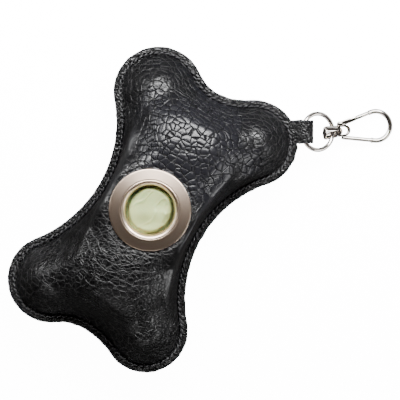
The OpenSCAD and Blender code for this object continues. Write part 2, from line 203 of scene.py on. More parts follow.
def hollow_r(along, across, r, reach):
    """Radius of the hollow arc that touches a lobe's circle and crosses an axis at reach."""
    rise = reach - along
    return (across**2 + rise**2 - r**2) / (2 * (r - rise))


def arc(centre, r, start, end, side):
    """Points of an arc, with their normals away from its centre, or towards it if side is -1."""
    a = np.linspace(start, end, 160)
    u = np.stack([np.cos(a), np.sin(a)], -1)
    return np.hstack([np.array(centre) + r * u, side * u])


def quarter(q):
    """Points and outward normals of one quarter of the outline, from notch to waist."""
    x, y, r = LOBE[q]
    nx, wy = NOTCH_X[q in (1, 2)], WAIST_Y[q > 1]
    notch_r, waist_r = hollow_r(x, y, r, nx), hollow_r(y, x, r, wy)
    notch_a = math.atan2(y, x - nx - notch_r)
    waist_a = math.atan2(wy + waist_r - y, -x)
    points = np.vstack(
        [
            arc((nx + notch_r, 0), notch_r, math.pi, notch_a, -1)[:-1],
            arc((x, y), r, notch_a - math.pi, waist_a, 1)[:-1],
            arc((0, wy + waist_r), waist_r, waist_a + math.pi, 1.5 * math.pi, -1),
        ]
    )
    points = points * np.array(QUARTER_WAY[q] * 2)
    return points[::-1] if q in (1, 3) else points


def make_outline(count):
    """The outline as evenly spaced columns: points and outward normals."""
    points = resampled(np.vstack([quarter(q)[:-1] for q in range(4)]), count, closed=True)
    return points[:, :2], unit_of(points[:, 2:])


def off_curve(p, curve):
    """Distance of each point from a closed curve."""
    tree = kdtree.KDTree(len(curve))
    for i, c in enumerate(curve):
        tree.insert((c[0], c[1], 0), i)
    tree.balance()
    found = np.array([tree.find((x, y, 0))[1] for x, y in p])
    best = np.full(len(p), 1e9)
    for a, b in ((found - 1, found), (found, (found + 1) % len(curve))):
        run = curve[b] - curve[a]
        t = np.clip(((p - curve[a]) * run).sum(1) / (run * run).sum(1), 0, 1)
        best = np.minimum(best, np.linalg.norm(p - curve[a] - t[:, None] * run, axis=1))
    return best


def body_height(p):
    """Height of the stuffed front: a long dome over the roll and one limb to each lobe."""
    x, y = p[:, 0], p[:, 1]
    over = np.maximum(0, np.abs(x) - DOME_FLAT) / DOME_FALL
    total = (CROWN * dome(over**DOME_POWER + (y / DOME_HALF_W) ** 2)) ** JOIN_POWER
    for (lobe_x, lobe_y, _), way in zip(LOBE, QUARTER_WAY):
        start = np.array(LIMB_FROM) * way
        run = np.array([lobe_x, lobe_y]) * way - start
        t = (p - start) @ run / (run @ run)
        lean = LIMB_LEAN * (1 - np.clip(t, 0.4, 1.5))
        t = np.clip(t, 0, 1)
        lean += LIMB_SWELL * np.sin(math.pi * t)
        off = np.linalg.norm(p - start - t[:, None] * run, axis=1) / lerp(*LIMB_HALF_W, t)
        crest = lerp(LIMB_FROM_H, LOBE_CROWN - LOBE_SAG, t) + lean
        total += (crest * dome(off * off)) ** JOIN_POWER
    return total ** (1 / JOIN_POWER)


def front_height(p, depth):
    """Height of the front over the rim, where depth is the distance from the seam."""
    seat = smooth((EYELET_R + SEAT_BLEND_W - np.linalg.norm(p, axis=1)) / SEAT_BLEND_W)
    slack = 1 - (1 - np.clip(depth / SLACK_W, 0, 1)) ** 2
    waist_end = np.where(p[:, 1] < 0, *WAIST_END)
    loose = smooth((np.abs(p[:, 0]) - waist_end) / WAIST_BLEND_W)
    rise = lerp(quarter_round(depth / SHOULDER_W), slack, loose)
    return lerp(body_height(p), CROWN, seat) * rise


# ---- Meshes ----


def new_object(name, points, edges, faces):
    """An object in the scene, smoothly shaded, from points in millimetres."""
    mesh = bpy.data.meshes.new(name)
    mesh.from_pydata((np.asarray(points) * MM).tolist(), edges, faces, shade_flat=False)
    obj = bpy.data.objects.new(name, mesh)
    bpy.context.scene.collection.objects.link(obj)
    return obj


def make_object(name, points, faces, sharp):
    """A closed piece that faces outwards, smooth but for edges sharper than that angle."""
    points = np.asarray(points, float)
    tris = [f[:3] for f in faces] + [(f[0], f[2], f[3]) for f in faces if len(f) == 4]
    tris = np.array([tuple(t) for t in tris])
    a, b, c = (points[tris[:, k]] - points.mean(0) for k in range(3))
    if (np.cross(a, b) * c).sum() < 0:
        faces = [tuple(reversed(f)) for f in faces]
    obj = new_object(name, points, [], faces)
    obj.data.set_sharp_from_angle(angle=math.radians(sharp))
    obj.data.update()
    return obj


def ring_faces(rings, count, closed):
    """Quads between rings of equal length, the last joined to the first if closed."""
    n = rings if closed else rings - 1
    i, j = np.meshgrid(np.arange(n), np.arange(count), indexing="ij")
    i2, j2 = (i + 1) % rings, (j + 1) % count
    quads = np.stack([i * count + j, i * count + j2, i2 * count + j2, i2 * count + j], -1)
    return quads.reshape(-1, 4).tolist()


def shell(rings, closed):
    """Points and faces of a skin over rings: closed on itself, or with a face at each end."""
    count, faces = len(rings[0]), ring_faces(len(rings), len(rings[0]), closed)
    if not closed:
        last = (len(rings) - 1) * count
        faces += [tuple(reversed(range(count))), tuple(range(last, last + count))]
    return np.vstack(rings), faces


def tube(path, radius, sides, closed=False):
    """Points and faces of a round tube along a path; radius may change along it."""
    path = np.asarray(path, float)
    radius = np.broadcast_to(radius, len(path))
    if closed:
        way = np.roll(path, -1, 0) - np.roll(path, 1, 0)
    else:
        way = np.gradient(path, axis=0)
    way = unit_of(way)
    u = np.cross(way[0], [0.3, 0.2, 0.93])
    a = np.linspace(0, 2 * math.pi, sides, endpoint=False)[:, None]
    rings = []
    for i in range(len(path)):
        u = u - way[i] * (u @ way[i])
        u /= np.linalg.norm(u)
        v = np.cross(way[i], u)
        rings.append(path[i] + radius[i] * (np.cos(a) * u + np.sin(a) * v))
    return shell(rings, closed)


def lathe(profile, segments, closed=True):
    """Points and faces of a profile of (radius, height) turned about Z."""
    a = np.linspace(0, 2 * math.pi, segments, endpoint=False)
    rings = [at_height(np.stack([r * np.cos(a), r * np.sin(a)], -1), z) for r, z in profile]
    return shell(rings, closed)


def bent_loop(corners, count):
    """A closed loop through round corners given as (centre, radius, start, end)."""
    pieces = []
    for (cx, cy), r, start, end in corners:
        a = np.radians(np.linspace(start, end, count))
        pieces.append(np.stack([cx + r * np.cos(a), cy + r * np.sin(a)], -1))
    return np.vstack(pieces)


def framed_plate(outer, inner, half, bevel, steps):
    """A plate with a hole, from matched outer and inner loops, with rounded edges."""
    middle = (outer + inner) / 2
    turns = np.linspace(0, math.pi / 2, steps + 1)
    rings = []
    for base, side in ((outer, 1), (inner, -1)):
        inward = unit_of(middle - base)
        for z, angles in ((side, turns), (-side, turns[::-1])):
            for a in angles:
                flat = base + inward * (bevel * (1 - math.sin(a)))
                rings.append(at_height(flat, z * (half - bevel * (1 - math.cos(a)))))
    return shell(rings, True)


def placed(points, matrix):
    """Points in millimetres moved by a matrix."""
    m = np.array(matrix)
    return np.asarray(points) @ m[:3, :3].T + m[:3, 3]


def merged(*parts):
    """Several (points, faces) as one."""
    points, faces, start = [], [], 0
    for p, f in parts:
        points.append(p)
        faces += [tuple(i + start for i in face) for face in f]
        start += len(p)
    return np.vstack(points), faces


def shift(x, y, z):
    return Matrix.Translation((x, y, z))


def turn(angle, axis):
    return Matrix.Rotation(angle, 4, axis)


AT_TAB = shift(*TAB_ROOT, SEAM_Z) @ turn(TAB_ANGLE, "Z")
AT_RING = AT_TAB @ shift(*RING_PIVOT, 0) @ turn(RING_TILT, "Y")
AT_HOOK = (
    AT_RING
    @ shift(RING_REACH, 0, 0)
    @ turn(-RING_TILT, "Y")
    @ turn(HOOK_ANGLE - TAB_ANGLE, "Z")
    @ turn(HOOK_PITCH, "Y")
    @ shift(EYE_SEAT, 0, 0)
)


def set_attribute(obj, name, values):
    layer = obj.data.attributes.new(name, "FLOAT", "POINT")
    layer.data.foreach_set("value", np.asarray(values, np.float32))


def paint(obj, material):
    """Gives an object that material alone."""
    obj.data.materials.clear()
    obj.data.materials.append(material)


def finish_piece(obj, body, slot, *nodes):
    """Gives a piece its body and hides the solids that it stands for; its slot is not used."""
    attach(obj, body)
    if nodes:
        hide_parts(*nodes)


# ---- Material building ----


class Nodes:
    """Short ways to add and join nodes in one tree."""

    def __init__(self, tree):
        self.tree = tree

    def fill(self, node, values):
        """Joins each socket among the values to the node's input, and sets the others."""
        for key, value in values.items():
            if isinstance(value, bpy.types.NodeSocket):
                self.tree.links.new(value, node.inputs[key])
            else:
                node.inputs[key].default_value = value
        return node

    def add(self, kind, values=None, **settings):
        node = self.tree.nodes.new(kind)
        for key, value in settings.items():
            setattr(node, key, value)
        return self.fill(node, values or {})

    def math(self, operation, a, b=0.0):
        return self.add("ShaderNodeMath", {0: a, 1: b}, operation=operation).outputs[0]

    def plus(self, a, b):
        return self.math("ADD", a, b)

    def minus(self, a, b):
        return self.math("SUBTRACT", a, b)

    def times(self, a, b):
        return self.math("MULTIPLY", a, b)

    def vector(self, operation, *values):
        node = self.add("ShaderNodeVectorMath", dict(enumerate(values)), operation=operation)
        return node.outputs[0]

    def grey(self, value):
        """The value as all three parts of a vector or colour."""
        return self.add("ShaderNodeCombineXYZ", {0: value, 1: value, 2: value}).outputs[0]

    def place(self):
        return self.add("ShaderNodeTexCoord").outputs["Object"]

    def noise(self, vector, scale, detail=3.0, roughness=0.5, distortion=0.0):
        values = {"Vector": vector, "Scale": scale, "Detail": detail}
        values.update({"Roughness": roughness, "Distortion": distortion})
        return self.add("ShaderNodeTexNoise", values).outputs["Fac"]

    def cells(self, vector, scale, feature="DISTANCE_TO_EDGE"):
        values = {"Vector": vector, "Scale": scale, "Randomness": 1.0}
        return self.add("ShaderNodeTexVoronoi", values, feature=feature).outputs["Distance"]

    def map(self, value, low, high, to_low=0.0, to_high=1.0):
        values = {"Value": value, 1: low, 2: high, 3: to_low, 4: to_high}
        return self.add("ShaderNodeMapRange", values).outputs["Result"]

    def blend(self, fac, a, b):
        return self.add("ShaderNodeMix", {0: fac, 6: a, 7: b}, data_type="RGBA").outputs[2]

    def bump(self, height, distance, strength=1.0, invert=False):
        values = {"Strength": strength, "Distance": distance, "Height": height}
        return self.add("ShaderNodeBump", values, invert=invert).outputs["Normal"]


def rgba(colour, share=1.0):
    """A colour socket's value, darker or paler by a share."""
    return (*(c * share for c in colour), 1)


def new_group(kind, name, inputs, outputs):
    """A node group of a kind, with named sockets: its nodes and what its input node gives."""
    tree = bpy.data.node_groups.new(name, kind)
    for label, sort, *default in inputs:
        socket = tree.interface.new_socket(label, in_out="INPUT", socket_type=sort)
        if default:
            socket.default_value = default[0]
    for label, sort in outputs:
        tree.interface.new_socket(label, in_out="OUTPUT", socket_type=sort)
    n = Nodes(tree)
    return n, n.add("NodeGroupInput").outputs


# Width of a crease as a share of the cell, squeeze of the cell, and how far its top is rounded
LARGE_CELL = (0.09, 0.85, 0.2)
SMALL_CELL = (0.12, 0.6, 0.45)


def grain_field(n, place, large_scale, small_scale):
    """Two sizes of leather cell at a place, each 0 in a crease and 1 on a cell's top."""
    drift = n.add("ShaderNodeTexNoise", {"Vector": place, "Scale": 85.0, "Detail": 2.0})
    drift = n.vector("SUBTRACT", drift.outputs["Color"], (0.5, 0.5, 0.5))
    bent = n.vector("MULTIPLY_ADD", drift, (0.003, 0.003, 0.003), place)
    tops = []
    for scale, cell in ((large_scale, LARGE_CELL), (small_scale, SMALL_CELL)):
        crease, squeeze, pillow = cell
        edge = n.cells(n.vector("MULTIPLY", bent, (1.0, squeeze, 1.0)), scale)
        height = 1.0
        for reach, share in ((crease, 1 - pillow), (0.5, pillow)):
            away = n.minus(1.0, n.map(edge, 0.0, reach))
            height = n.minus(height, n.times(n.math("POWER", away, 2.0), share))
        tops.append(height)
    return tops


def grain_shares(n, strong, drawn):
    """How much of the small cells shows beside large ones, and of any where it is drawn."""
    return n.minus(1.0, n.times(strong, 0.75)), n.map(drawn, -1.0, 1.0, 2.0, 0.0)


def grain_group():
    """Leather: colour, roughness and normal from the cells and pores, with painted shade in the
    creases and painted highlights and glints on the cell tops, crease lips and fold crests.
    """
    n, given = new_group(
        "ShaderNodeTree",
        "Leather grain",
        [
            ("Place", "NodeSocketVector"),
            ("Leather", "NodeSocketColor", (0.02, 0.02, 0.022, 1)),
            ("Crease", "NodeSocketColor", (0.006, 0.006, 0.007, 1)),
            ("Strong", "NodeSocketFloat", 1.0),
            ("Drawn", "NodeSocketFloat", 0.0),
            ("Large Scale", "NodeSocketFloat", 300.0),
            ("Small Scale", "NodeSocketFloat", 600.0),
            ("Depth", "NodeSocketFloat", 0.0002),
            ("Gloss", "NodeSocketFloat", 0.42),
        ],
        [
            ("Color", "NodeSocketColor"),
            ("Roughness", "NodeSocketFloat"),
            ("Normal", "NodeSocketVector"),
        ],
    )
    place, strong, drawn = given["Place"], given["Strong"], given["Drawn"]
    large, small = grain_field(n, place, given["Large Scale"], given["Small Scale"])
    weak, loose = grain_shares(n, strong, drawn)
    height = n.times(large, n.map(strong, 0.0, 1.0, 0.6, 1.0))
    height = n.plus(height, n.times(n.times(small, weak), 0.3))
    pores = n.times(n.noise(place, 4200.0, 3.0, 0.6), 0.04)
    height = n.plus(n.times(height, loose), pores)

    # Painted shade: a darker colour in the creases. Painted highlight: paler tops where the
    # cells are strong, on the lit bulge
    top = n.math("MAXIMUM", n.times(large, strong), n.times(small, weak))
    tone = n.map(n.math("MAXIMUM", top, n.times(drawn, 0.8)), 0.1, 0.75)
    colour = n.blend(tone, given["Crease"], given["Leather"])
    pale = n.plus(1.0, n.times(n.times(strong, tone), 7.0))
    colour = n.vector("MULTIPLY", colour, n.grey(pale))

    # Painted glints: pale lines along the crease lips where the cells are weak. Painted
    # highlight: a pale streak along the drawn fold crests
    line = n.times(n.map(large, 0.38, 0.1), 0.052)
    line = n.plus(line, n.times(n.map(small, 0.3, 0.0), 0.006))
    line = n.times(line, n.minus(1.0, strong))
    line = n.times(line, n.map(drawn, 0.0, 1.0, 1.0, 0.0))
    line = n.times(line, n.map(drawn, -0.5, 0.0))
    line = n.plus(line, n.times(n.map(drawn, 0.6, 1.7), 0.035))
    colour = n.vector("ADD", colour, n.grey(line))

    patch = n.map(n.noise(place, 60.0, 3.0), 0.3, 0.7, -0.02, 0.02)
    rough = n.plus(n.plus(given["Gloss"], patch), n.map(tone, 0.0, 1.0, 0.2, 0.0))
    normal = n.bump(height, given["Depth"])
    n.add("NodeGroupOutput", {"Color": colour, "Roughness": rough, "Normal": normal})
    return n.tree


def wear_group():
    """Faint smudges and fine scratches on plated metal: roughness and normal."""
    n, given = new_group(
        "ShaderNodeTree",
        "Plating wear",
        [
            ("Base Roughness", "NodeSocketFloat", 0.1),
            ("Smudge", "NodeSocketFloat", 0.08),
            ("Scratch Depth", "NodeSocketFloat", 0.000004),
        ],
        [("Roughness", "NodeSocketFloat"), ("Normal", "NodeSocketVector")],
    )
    place = n.place()
    smudge = n.map(n.noise(place, 260.0, 4.0, 0.6), 0.35, 0.7)
    rough = n.plus(given["Base Roughness"], n.times(smudge, given["Smudge"]))
    normal = n.bump(n.noise(place, 2600.0, 3.0, 0.6), given["Scratch Depth"])
    n.add("NodeGroupOutput", {"Roughness": rough, "Normal": normal})
    return n.tree


def new_material(name):
    """A material with its nodes and its shader."""
    material = bpy.data.materials.new(name)
    material.use_nodes = True
    n = Nodes(material.node_tree)
    return material, n, material.node_tree.nodes["Principled BSDF"]


def use_group(n, tree, values):
    node = n.add("ShaderNodeGroup")
    node.node_tree = tree
    return n.fill(node, values).outputs


def leather_material(name, tree, props, duller):
    """Pebbled leather that reads its place at rest and its strengths from the skin."""
    material, n, shader = new_material(name)
    rest, strong, drawn = (
        n.add("ShaderNodeAttribute", attribute_name=key).outputs
        for key in ("rest", "strong", "drawn")
    )
    grain = use_group(
        n,
        tree,
        {
            "Place": rest["Vector"],
            "Leather": rgba(props.colour),
            # The crease colour is painted shade: the leather's colour darkened for the creases
            "Crease": rgba(props.colour, 0.15),
            "Strong": strong["Fac"],
            "Drawn": drawn["Fac"],
            "Large Scale": 1 / props.pebble,
            "Small Scale": 1 / props.wrinkle,
            "Depth": props.relief,
            "Gloss": props.gloss + duller,
        },
    )
    values = {"Base Color": grain["Color"], "Specular IOR Level": 0.6}
    n.fill(shader, {**values, "Roughness": grain["Roughness"], "Normal": grain["Normal"]})
    return material


def thread_material(props):
    """Waxed black thread with the slanting plies of a twisted yarn."""
    material, n, shader = new_material("waxed thread")
    along = n.add("ShaderNodeAttribute", attribute_name="ply").outputs["Fac"]
    ply = n.math("SINE", n.times(along, 2 * math.pi))
    tone = n.noise(n.place(), 900.0, 2.0)
    colour = n.blend(tone, rgba(props.thread_colour, 0.4), rgba(props.thread_colour))
    values = {"Base Color": colour, "Normal": n.bump(ply, 0.00005, 0.8)}
    n.fill(shader, {**values, "Roughness": 0.28, "Specular IOR Level": 0.8})
    return material


def polished_material(props):
    """Polished plating with faint smudges and scratches."""
    material, n, shader = new_material("polished chrome")
    base = {"Base Roughness": props.polish, "Smudge": 0.06, "Scratch Depth": 0.000003}
    wear = use_group(n, wear_group(), base)
    tone = n.noise(n.place(), 180.0, 3.0)
    colour = n.blend(tone, rgba(props.chrome, 0.94), rgba(props.chrome))
    values = {"Base Color": colour, "Metallic": 1.0}
    n.fill(shader, {**values, "Roughness": wear["Roughness"], "Normal": wear["Normal"]})
    return material


def turned_material(props):
    """Satin nickel with the fine rings of a turned and brushed face about the Z axis."""
    material, n, shader = new_material("satin nickel")
    flat = n.vector("MULTIPLY", n.place(), (1, 1, 0))
    radius = n.add("ShaderNodeVectorMath", {0: flat}, operation="LENGTH").outputs["Value"]
    rings = n.add("ShaderNodeCombineXYZ", {"X": radius}).outputs[0]
    line = n.noise(rings, 9000.0, 3.0, 0.7)
    colour = n.blend(n.map(line, 0.3, 0.7), rgba(props.nickel, 0.93), rgba(props.nickel))
    values = {"Base Color": colour, "Normal": n.bump(line, 0.000003, 0.1)}
    n.fill(shader, {**values, "Roughness": props.satin, "Metallic": 1.0})
    return material


def film_material(props):
    """Thin soft film in layers: pale green, with faint cloudy patches and fine creases."""
    material, n, shader = new_material("soft film")
    place = n.place()
    cloud = n.map(n.noise(place, 120.0, 3.0), 0.35, 0.65)
    crease = n.noise(place, 700.0, 4.0, 0.6, 0.6)
    colour = n.blend(cloud, rgba(props.colour, 0.86), rgba(props.colour))
    values = {"Base Color": colour, "Normal": n.bump(crease, 0.00012, 0.6), "Roughness": 0.5}
    n.fill(shader, {**values, "Subsurface Weight": 0.15, "Subsurface Scale": 0.001})
    return material


FASTENER_COLOUR = (0.012, 0.012, 0.013)
CARD_DARK, CARD_PALE = (0.42, 0.31, 0.2), (0.66, 0.52, 0.36)


def fabric_material(name, scale):
    """Woven tape of the touch fastener, with its pile as a fine bump."""
    material, n, shader = new_material(name)
    pile = n.cells(n.place(), scale, "F1")
    tone = n.map(pile, 0.0, 0.6)
    colour = n.blend(tone, rgba(FASTENER_COLOUR, 2.2), rgba(FASTENER_COLOUR))
    values = {"Base Color": colour, "Normal": n.bump(pile, 0.0002, invert=True)}
    n.fill(shader, {**values, "Roughness": 0.85, "Sheen Weight": 0.3})
    return material


def card_material():
    """Grey-brown board of the roll's core, with short fibres along the tube."""
    material, n, shader = new_material("core board")
    long = n.vector("MULTIPLY", n.place(), (0.25, 1, 1))
    fibre = n.noise(long, 2200.0, 4.0, 0.7)
    colour = n.blend(fibre, rgba(CARD_DARK), rgba(CARD_PALE))
    values = {"Base Color": colour, "Normal": n.bump(fibre, 0.0001, 0.5), "Roughness": 0.85}
    n.fill(shader, values)
    return material


# ---- What a user may change ----


class PouchLeather(bpy.types.PropertyGroup):
    """Leather and thread"""

    colour: bpy.props.FloatVectorProperty(
        name="Leather", description="Colour of the leather", default=(0.0014, 0.0014, 0.0018),
        size=3, min=0, max=1, subtype="COLOR",
    )
    gloss: bpy.props.FloatProperty(
        name="Roughness", description="Roughness of the finished grain", default=0.28,
        min=0, max=1, subtype="FACTOR",
    )
    pebble: bpy.props.FloatProperty(
        name="Pebble size", description="Width of one large leather cell", default=0.0025,
        min=0.001, max=0.008, unit="LENGTH",
    )
    wrinkle: bpy.props.FloatProperty(
        name="Wrinkle size", description="Width of one small leather cell", default=0.0013,
        min=0.0005, max=0.004, unit="LENGTH",
    )
    relief: bpy.props.FloatProperty(
        name="Relief", description="Depth of the creases between cells", default=0.00034,
        min=0, max=0.001, unit="LENGTH",
    )
    columns: bpy.props.IntProperty(
        name="Columns", description="Mesh columns round the front skin", default=780,
        min=200, max=900,
    )
    stitch_in: bpy.props.FloatProperty(
        name="Stitch inset", description="Distance of the stitches from the edge",
        default=0.0024, min=0.001, max=0.004, unit="LENGTH",
    )
    stitch_pitch: bpy.props.FloatProperty(
        name="Stitch pitch", description="Distance from one stitch to the next",
        default=0.0021, min=0.001, max=0.005, unit="LENGTH",
    )
    thread_d: bpy.props.FloatProperty(
        name="Thread", description="Diameter of the thread", default=0.00058,
        min=0.0002, max=0.001, unit="LENGTH",
    )
    slant: bpy.props.FloatProperty(
        name="Slant", description="Angle between a stitch and its row",
        default=math.radians(17), min=0, max=1, unit="ROTATION",
    )
    thread_colour: bpy.props.FloatVectorProperty(
        name="Thread colour", description="Colour of the thread", default=(0.07, 0.07, 0.074),
        size=3, min=0, max=1, subtype="COLOR",
    )


class PouchFittings(bpy.types.PropertyGroup):
    """Eyelet, ring and hook"""

    nickel: bpy.props.FloatVectorProperty(
        name="Nickel", description="Colour of the satin plating", default=(0.84, 0.66, 0.52),
        size=3, min=0, max=1, subtype="COLOR",
    )
    chrome: bpy.props.FloatVectorProperty(
        name="Chrome", description="Colour of the polished plating", default=(0.82, 0.76, 0.70),
        size=3, min=0, max=1, subtype="COLOR",
    )
    satin: bpy.props.FloatProperty(
        name="Satin roughness", description="Roughness of the eyelet", default=0.3,
        min=0, max=1, subtype="FACTOR",
    )
    polish: bpy.props.FloatProperty(
        name="Polish roughness", description="Roughness of ring and hook", default=0.09,
        min=0, max=1, subtype="FACTOR",
    )


class PouchRoll(bpy.types.PropertyGroup):
    """Roll of bags"""

    colour: bpy.props.FloatVectorProperty(
        name="Film", description="Colour of the bag film", default=(0.62, 0.70, 0.30),
        size=3, min=0, max=1, subtype="COLOR",
    )
    layer: bpy.props.FloatProperty(
        name="Layer", description="Thickness of one wound layer at the roll's ends",
        default=0.0007, min=0.0003, max=0.002, unit="LENGTH",
    )
    swell: bpy.props.FloatProperty(
        name="Swell", description="Height of the soft folds in the film's end",
        default=0.0004, min=0, max=0.001, unit="LENGTH",
    )


class PouchStage(bpy.types.PropertyGroup):
    """Floor, light and camera"""

    floor: bpy.props.FloatVectorProperty(
        name="Floor", description="Colour of the floor", default=(0.9, 0.9, 0.9),
        size=3, min=0, max=1, subtype="COLOR",
    )
    glow: bpy.props.FloatProperty(
        name="Floor glow", description="Light that the lit floor sends to the camera",
        default=14.0, min=0,
    )
    key: bpy.props.FloatProperty(
        name="Key light", description="Power of the main soft light", default=1.9,
        min=0, unit="POWER",
    )
    strip: bpy.props.FloatProperty(
        name="Strip lights", description="Power of each narrow light at a side", default=1.2,
        min=0, unit="POWER",
    )
    cards: bpy.props.FloatProperty(
        name="Edge cards", description="Power of each low light that only the wires see",
        default=0.35, min=0, unit="POWER",
    )
    height: bpy.props.FloatProperty(
        name="Camera height", description="Height of the camera over the floor",
        default=2.0, min=0.5, max=5, unit="LENGTH",
    )
    field: bpy.props.FloatProperty(
        name="Field", description="Width of the view at the rim's height", default=0.152,
        min=0.05, max=1, unit="LENGTH",
    )


# ---- Node groups and materials that pieces share ----

MADE = {}


def shared(name, make, *given):
    """A node group or material that is made once and then shared."""
    if name not in MADE:
        MADE[name] = make(*given)
    return MADE[name]


STRAP_DULLER = 0.06


def leather_of(props, kind):
    """The leather of the panels and the flap, or the slightly duller one of the strap."""
    duller = STRAP_DULLER if kind == "strap" else 0.0
    tree = shared("grain", grain_group)
    return shared(kind, leather_material, f"{kind} leather", tree, props, duller)


# ---- Geometry node trees ----

SKIN_MARKS = ("strong", "drawn", "fade")
LEVEL = 0.8  # Height of the grain, from 0 to 1, that stays level with the skin
SMALL_SHARE = 0.6  # Height of the small cells as a share of the large ones
LEAN = 0.13  # How far a stitch may lean from its slant, in radians


def end_tree(n, geometry, material):
    """Makes a tree's instances real, gives them their material and puts them out."""
    real = n.add("GeometryNodeRealizeInstances", {"Geometry": geometry}).outputs[0]
    dyed = n.add("GeometryNodeSetMaterial", {"Geometry": real, "Material": material})
    n.add("NodeGroupOutput", {"Geometry": dyed.outputs[0]})
    return n.tree


def pebble_tree():
    """Geometry nodes that raise the leather's cells on a skin and keep its place at rest."""
    n, given = new_group(
        "GeometryNodeTree",
        "Pebbled skin",
        [
            ("Geometry", "NodeSocketGeometry"),
            ("Large Scale", "NodeSocketFloat", 300.0),
            ("Small Scale", "NodeSocketFloat", 600.0),
            ("Depth", "NodeSocketFloat", 0.0002),
            ("Leather", "NodeSocketMaterial"),
        ],
        [("Geometry", "NodeSocketGeometry")],
    )
    place = n.add("GeometryNodeInputPosition").outputs[0]
    strong, drawn, fade = (
        n.add("GeometryNodeInputNamedAttribute", {"Name": key}).outputs[0] for key in SKIN_MARKS
    )
    large, small = grain_field(n, place, given["Large Scale"], given["Small Scale"])
    weak, loose = grain_shares(n, strong, drawn)
    low = n.times(n.times(n.minus(small, LEVEL), weak), SMALL_SHARE)
    lift = n.plus(n.times(n.minus(large, LEVEL), strong), low)
    lift = n.times(n.times(n.times(lift, loose), fade), given["Depth"])
    normal = n.add("GeometryNodeInputNormal").outputs[0]
    move = n.add("ShaderNodeVectorMath", {0: normal, "Scale": lift}, operation="SCALE")
    kept = n.add(
        "GeometryNodeStoreNamedAttribute",
        {"Geometry": given["Geometry"], "Name": "rest", "Value": place},
        data_type="FLOAT_VECTOR",
        domain="POINT",
    )
    raised = n.add(
        "GeometryNodeSetPosition", {"Geometry": kept.outputs[0], "Offset": move.outputs[0]}
    )
    return end_tree(n, raised.outputs[0], given["Leather"])


def stitch_tree():
    """Geometry nodes that set stitches at an even pitch along a path."""
    n, given = new_group(
        "GeometryNodeTree",
        "Stitch row",
        [
            ("Geometry", "NodeSocketGeometry"),
            ("Stitch", "NodeSocketObject"),
            ("Count", "NodeSocketInt", 100),
            ("Slant", "NodeSocketFloat", 0.3),
            ("Wander", "NodeSocketFloat", 0.00005),
            ("Seed", "NodeSocketInt", 1),
            ("Thread", "NodeSocketMaterial"),
        ],
        [("Geometry", "NodeSocketGeometry")],
    )

    def chance(low, high):
        """A random vector for each stitch."""
        values = {0: low, 1: high, "Seed": given["Seed"]}
        node = n.add("FunctionNodeRandomValue", data_type="FLOAT_VECTOR")
        return n.fill(node, values).outputs[0]

    def upright(z):
        return n.add("ShaderNodeCombineXYZ", {"Z": z}).outputs[0]

    curve = n.add("GeometryNodeMeshToCurve", {"Mesh": given["Geometry"]}).outputs["Curve"]
    even = n.add("GeometryNodeResampleCurve", {"Curve": curve, "Count": given["Count"]})
    tangent = n.add("GeometryNodeInputTangent").outputs["Tangent"]
    along = n.add(
        "FunctionNodeAlignRotationToVector", {"Vector": tangent}, axis="X", pivot_axis="Z"
    )
    spread = chance(upright(-LEAN), upright(LEAN))
    lean = n.vector("ADD", upright(given["Slant"]), spread)
    turned = n.add("FunctionNodeRotateRotation", rotation_space="LOCAL")
    n.fill(turned, {0: along.outputs["Rotation"], 1: lean})
    drift = {0: chance((-1, -1, 0), (1, 1, 0)), "Scale": given["Wander"]}
    drift = n.add("ShaderNodeVectorMath", drift, operation="SCALE").outputs[0]
    moved = n.add("GeometryNodeSetPosition", {"Geometry": even.outputs[0], "Offset": drift})
    info = n.add("GeometryNodeObjectInfo", {"Object": given["Stitch"]})
    row = {"Points": moved.outputs[0], "Instance": info.outputs["Geometry"]}
    row["Rotation"] = turned.outputs[0]
    rows = n.add("GeometryNodeInstanceOnPoints", row)
    return end_tree(n, rows.outputs[0], given["Thread"])


def through_nodes(obj, tree, values):
    """Runs a geometry node tree on an object and leaves the result as its plain mesh."""
    modifier = obj.modifiers.new("nodes", "NODES")
    modifier.node_group = tree
    for item in tree.interface.items_tree:
        if item.in_out == "INPUT" and item.name in values:
            modifier[item.identifier] = values[item.name]
    bpy.context.view_layer.update()
    depsgraph = bpy.context.evaluated_depsgraph_get()
    made = bpy.data.meshes.new_from_object(obj.evaluated_get(depsgraph))
    made.name = obj.name
    obj.modifiers.clear()
    obj.data = made


# ---- Leather skins ----

RAISED_SHARE = 0.5  # Part of the grain's relief that is in the mesh; the bump holds all of it


def pebbled(name, made, sharp, props, material):
    """A leather piece with raised cells, from its points, faces and strengths."""
    points, faces, strengths = made
    obj = make_object(name, points, faces, sharp)
    for key, values in zip(SKIN_MARKS, strengths):
        set_attribute(obj, key, values)
    values = {"Large Scale": 1 / props.pebble, "Small Scale": 1 / props.wrinkle}
    values.update({"Depth": props.relief * RAISED_SHARE, "Leather": material})
    through_nodes(obj, shared("pebbled skin", pebble_tree), values)
    return obj


# Middle of the bulge with the largest cells, and how far they reach
BULGE = (31.0, -2.0)
BULGE_REACH = 31

# Soft swells of the front: height, wave length and seed
SWELLS = ((0.10, 13, 21), (0.04, 6, 22))

# Dip beside the eyelet's flange: depth, distance from the flange and half its width
FLANGE_DIP = (0.32, 0.6, 0.5)

# Crest of the fold on each side of the waist: its distance from the middle at places along X
CREST_X = (-34, -24, -16, -8, 0, 10, 20, 29, 36)
CREST_LEFT = (15.6, 15.8, 16.1, 16.6, 16.9, 17.4, 19.2, 21.5, 23.5)
CREST_RIGHT = (25.0, 21.4, 18.4, 16.9, 16.5, 16.8, 18.5, 21.0, 23.5)
FOLD_END, FOLD_FADE = 36, 18
FOLD_OUTER_W, FOLD_INNER_W = 1.3, 2.0


def calm(p):
    """How smooth the leather is drawn: up to 1 along the folds beside the waist."""
    x, y = np.abs(p[:, 0]), np.abs(p[:, 1])
    return smooth((y - 14.5) / 3) * smooth((34 - x) / 16)


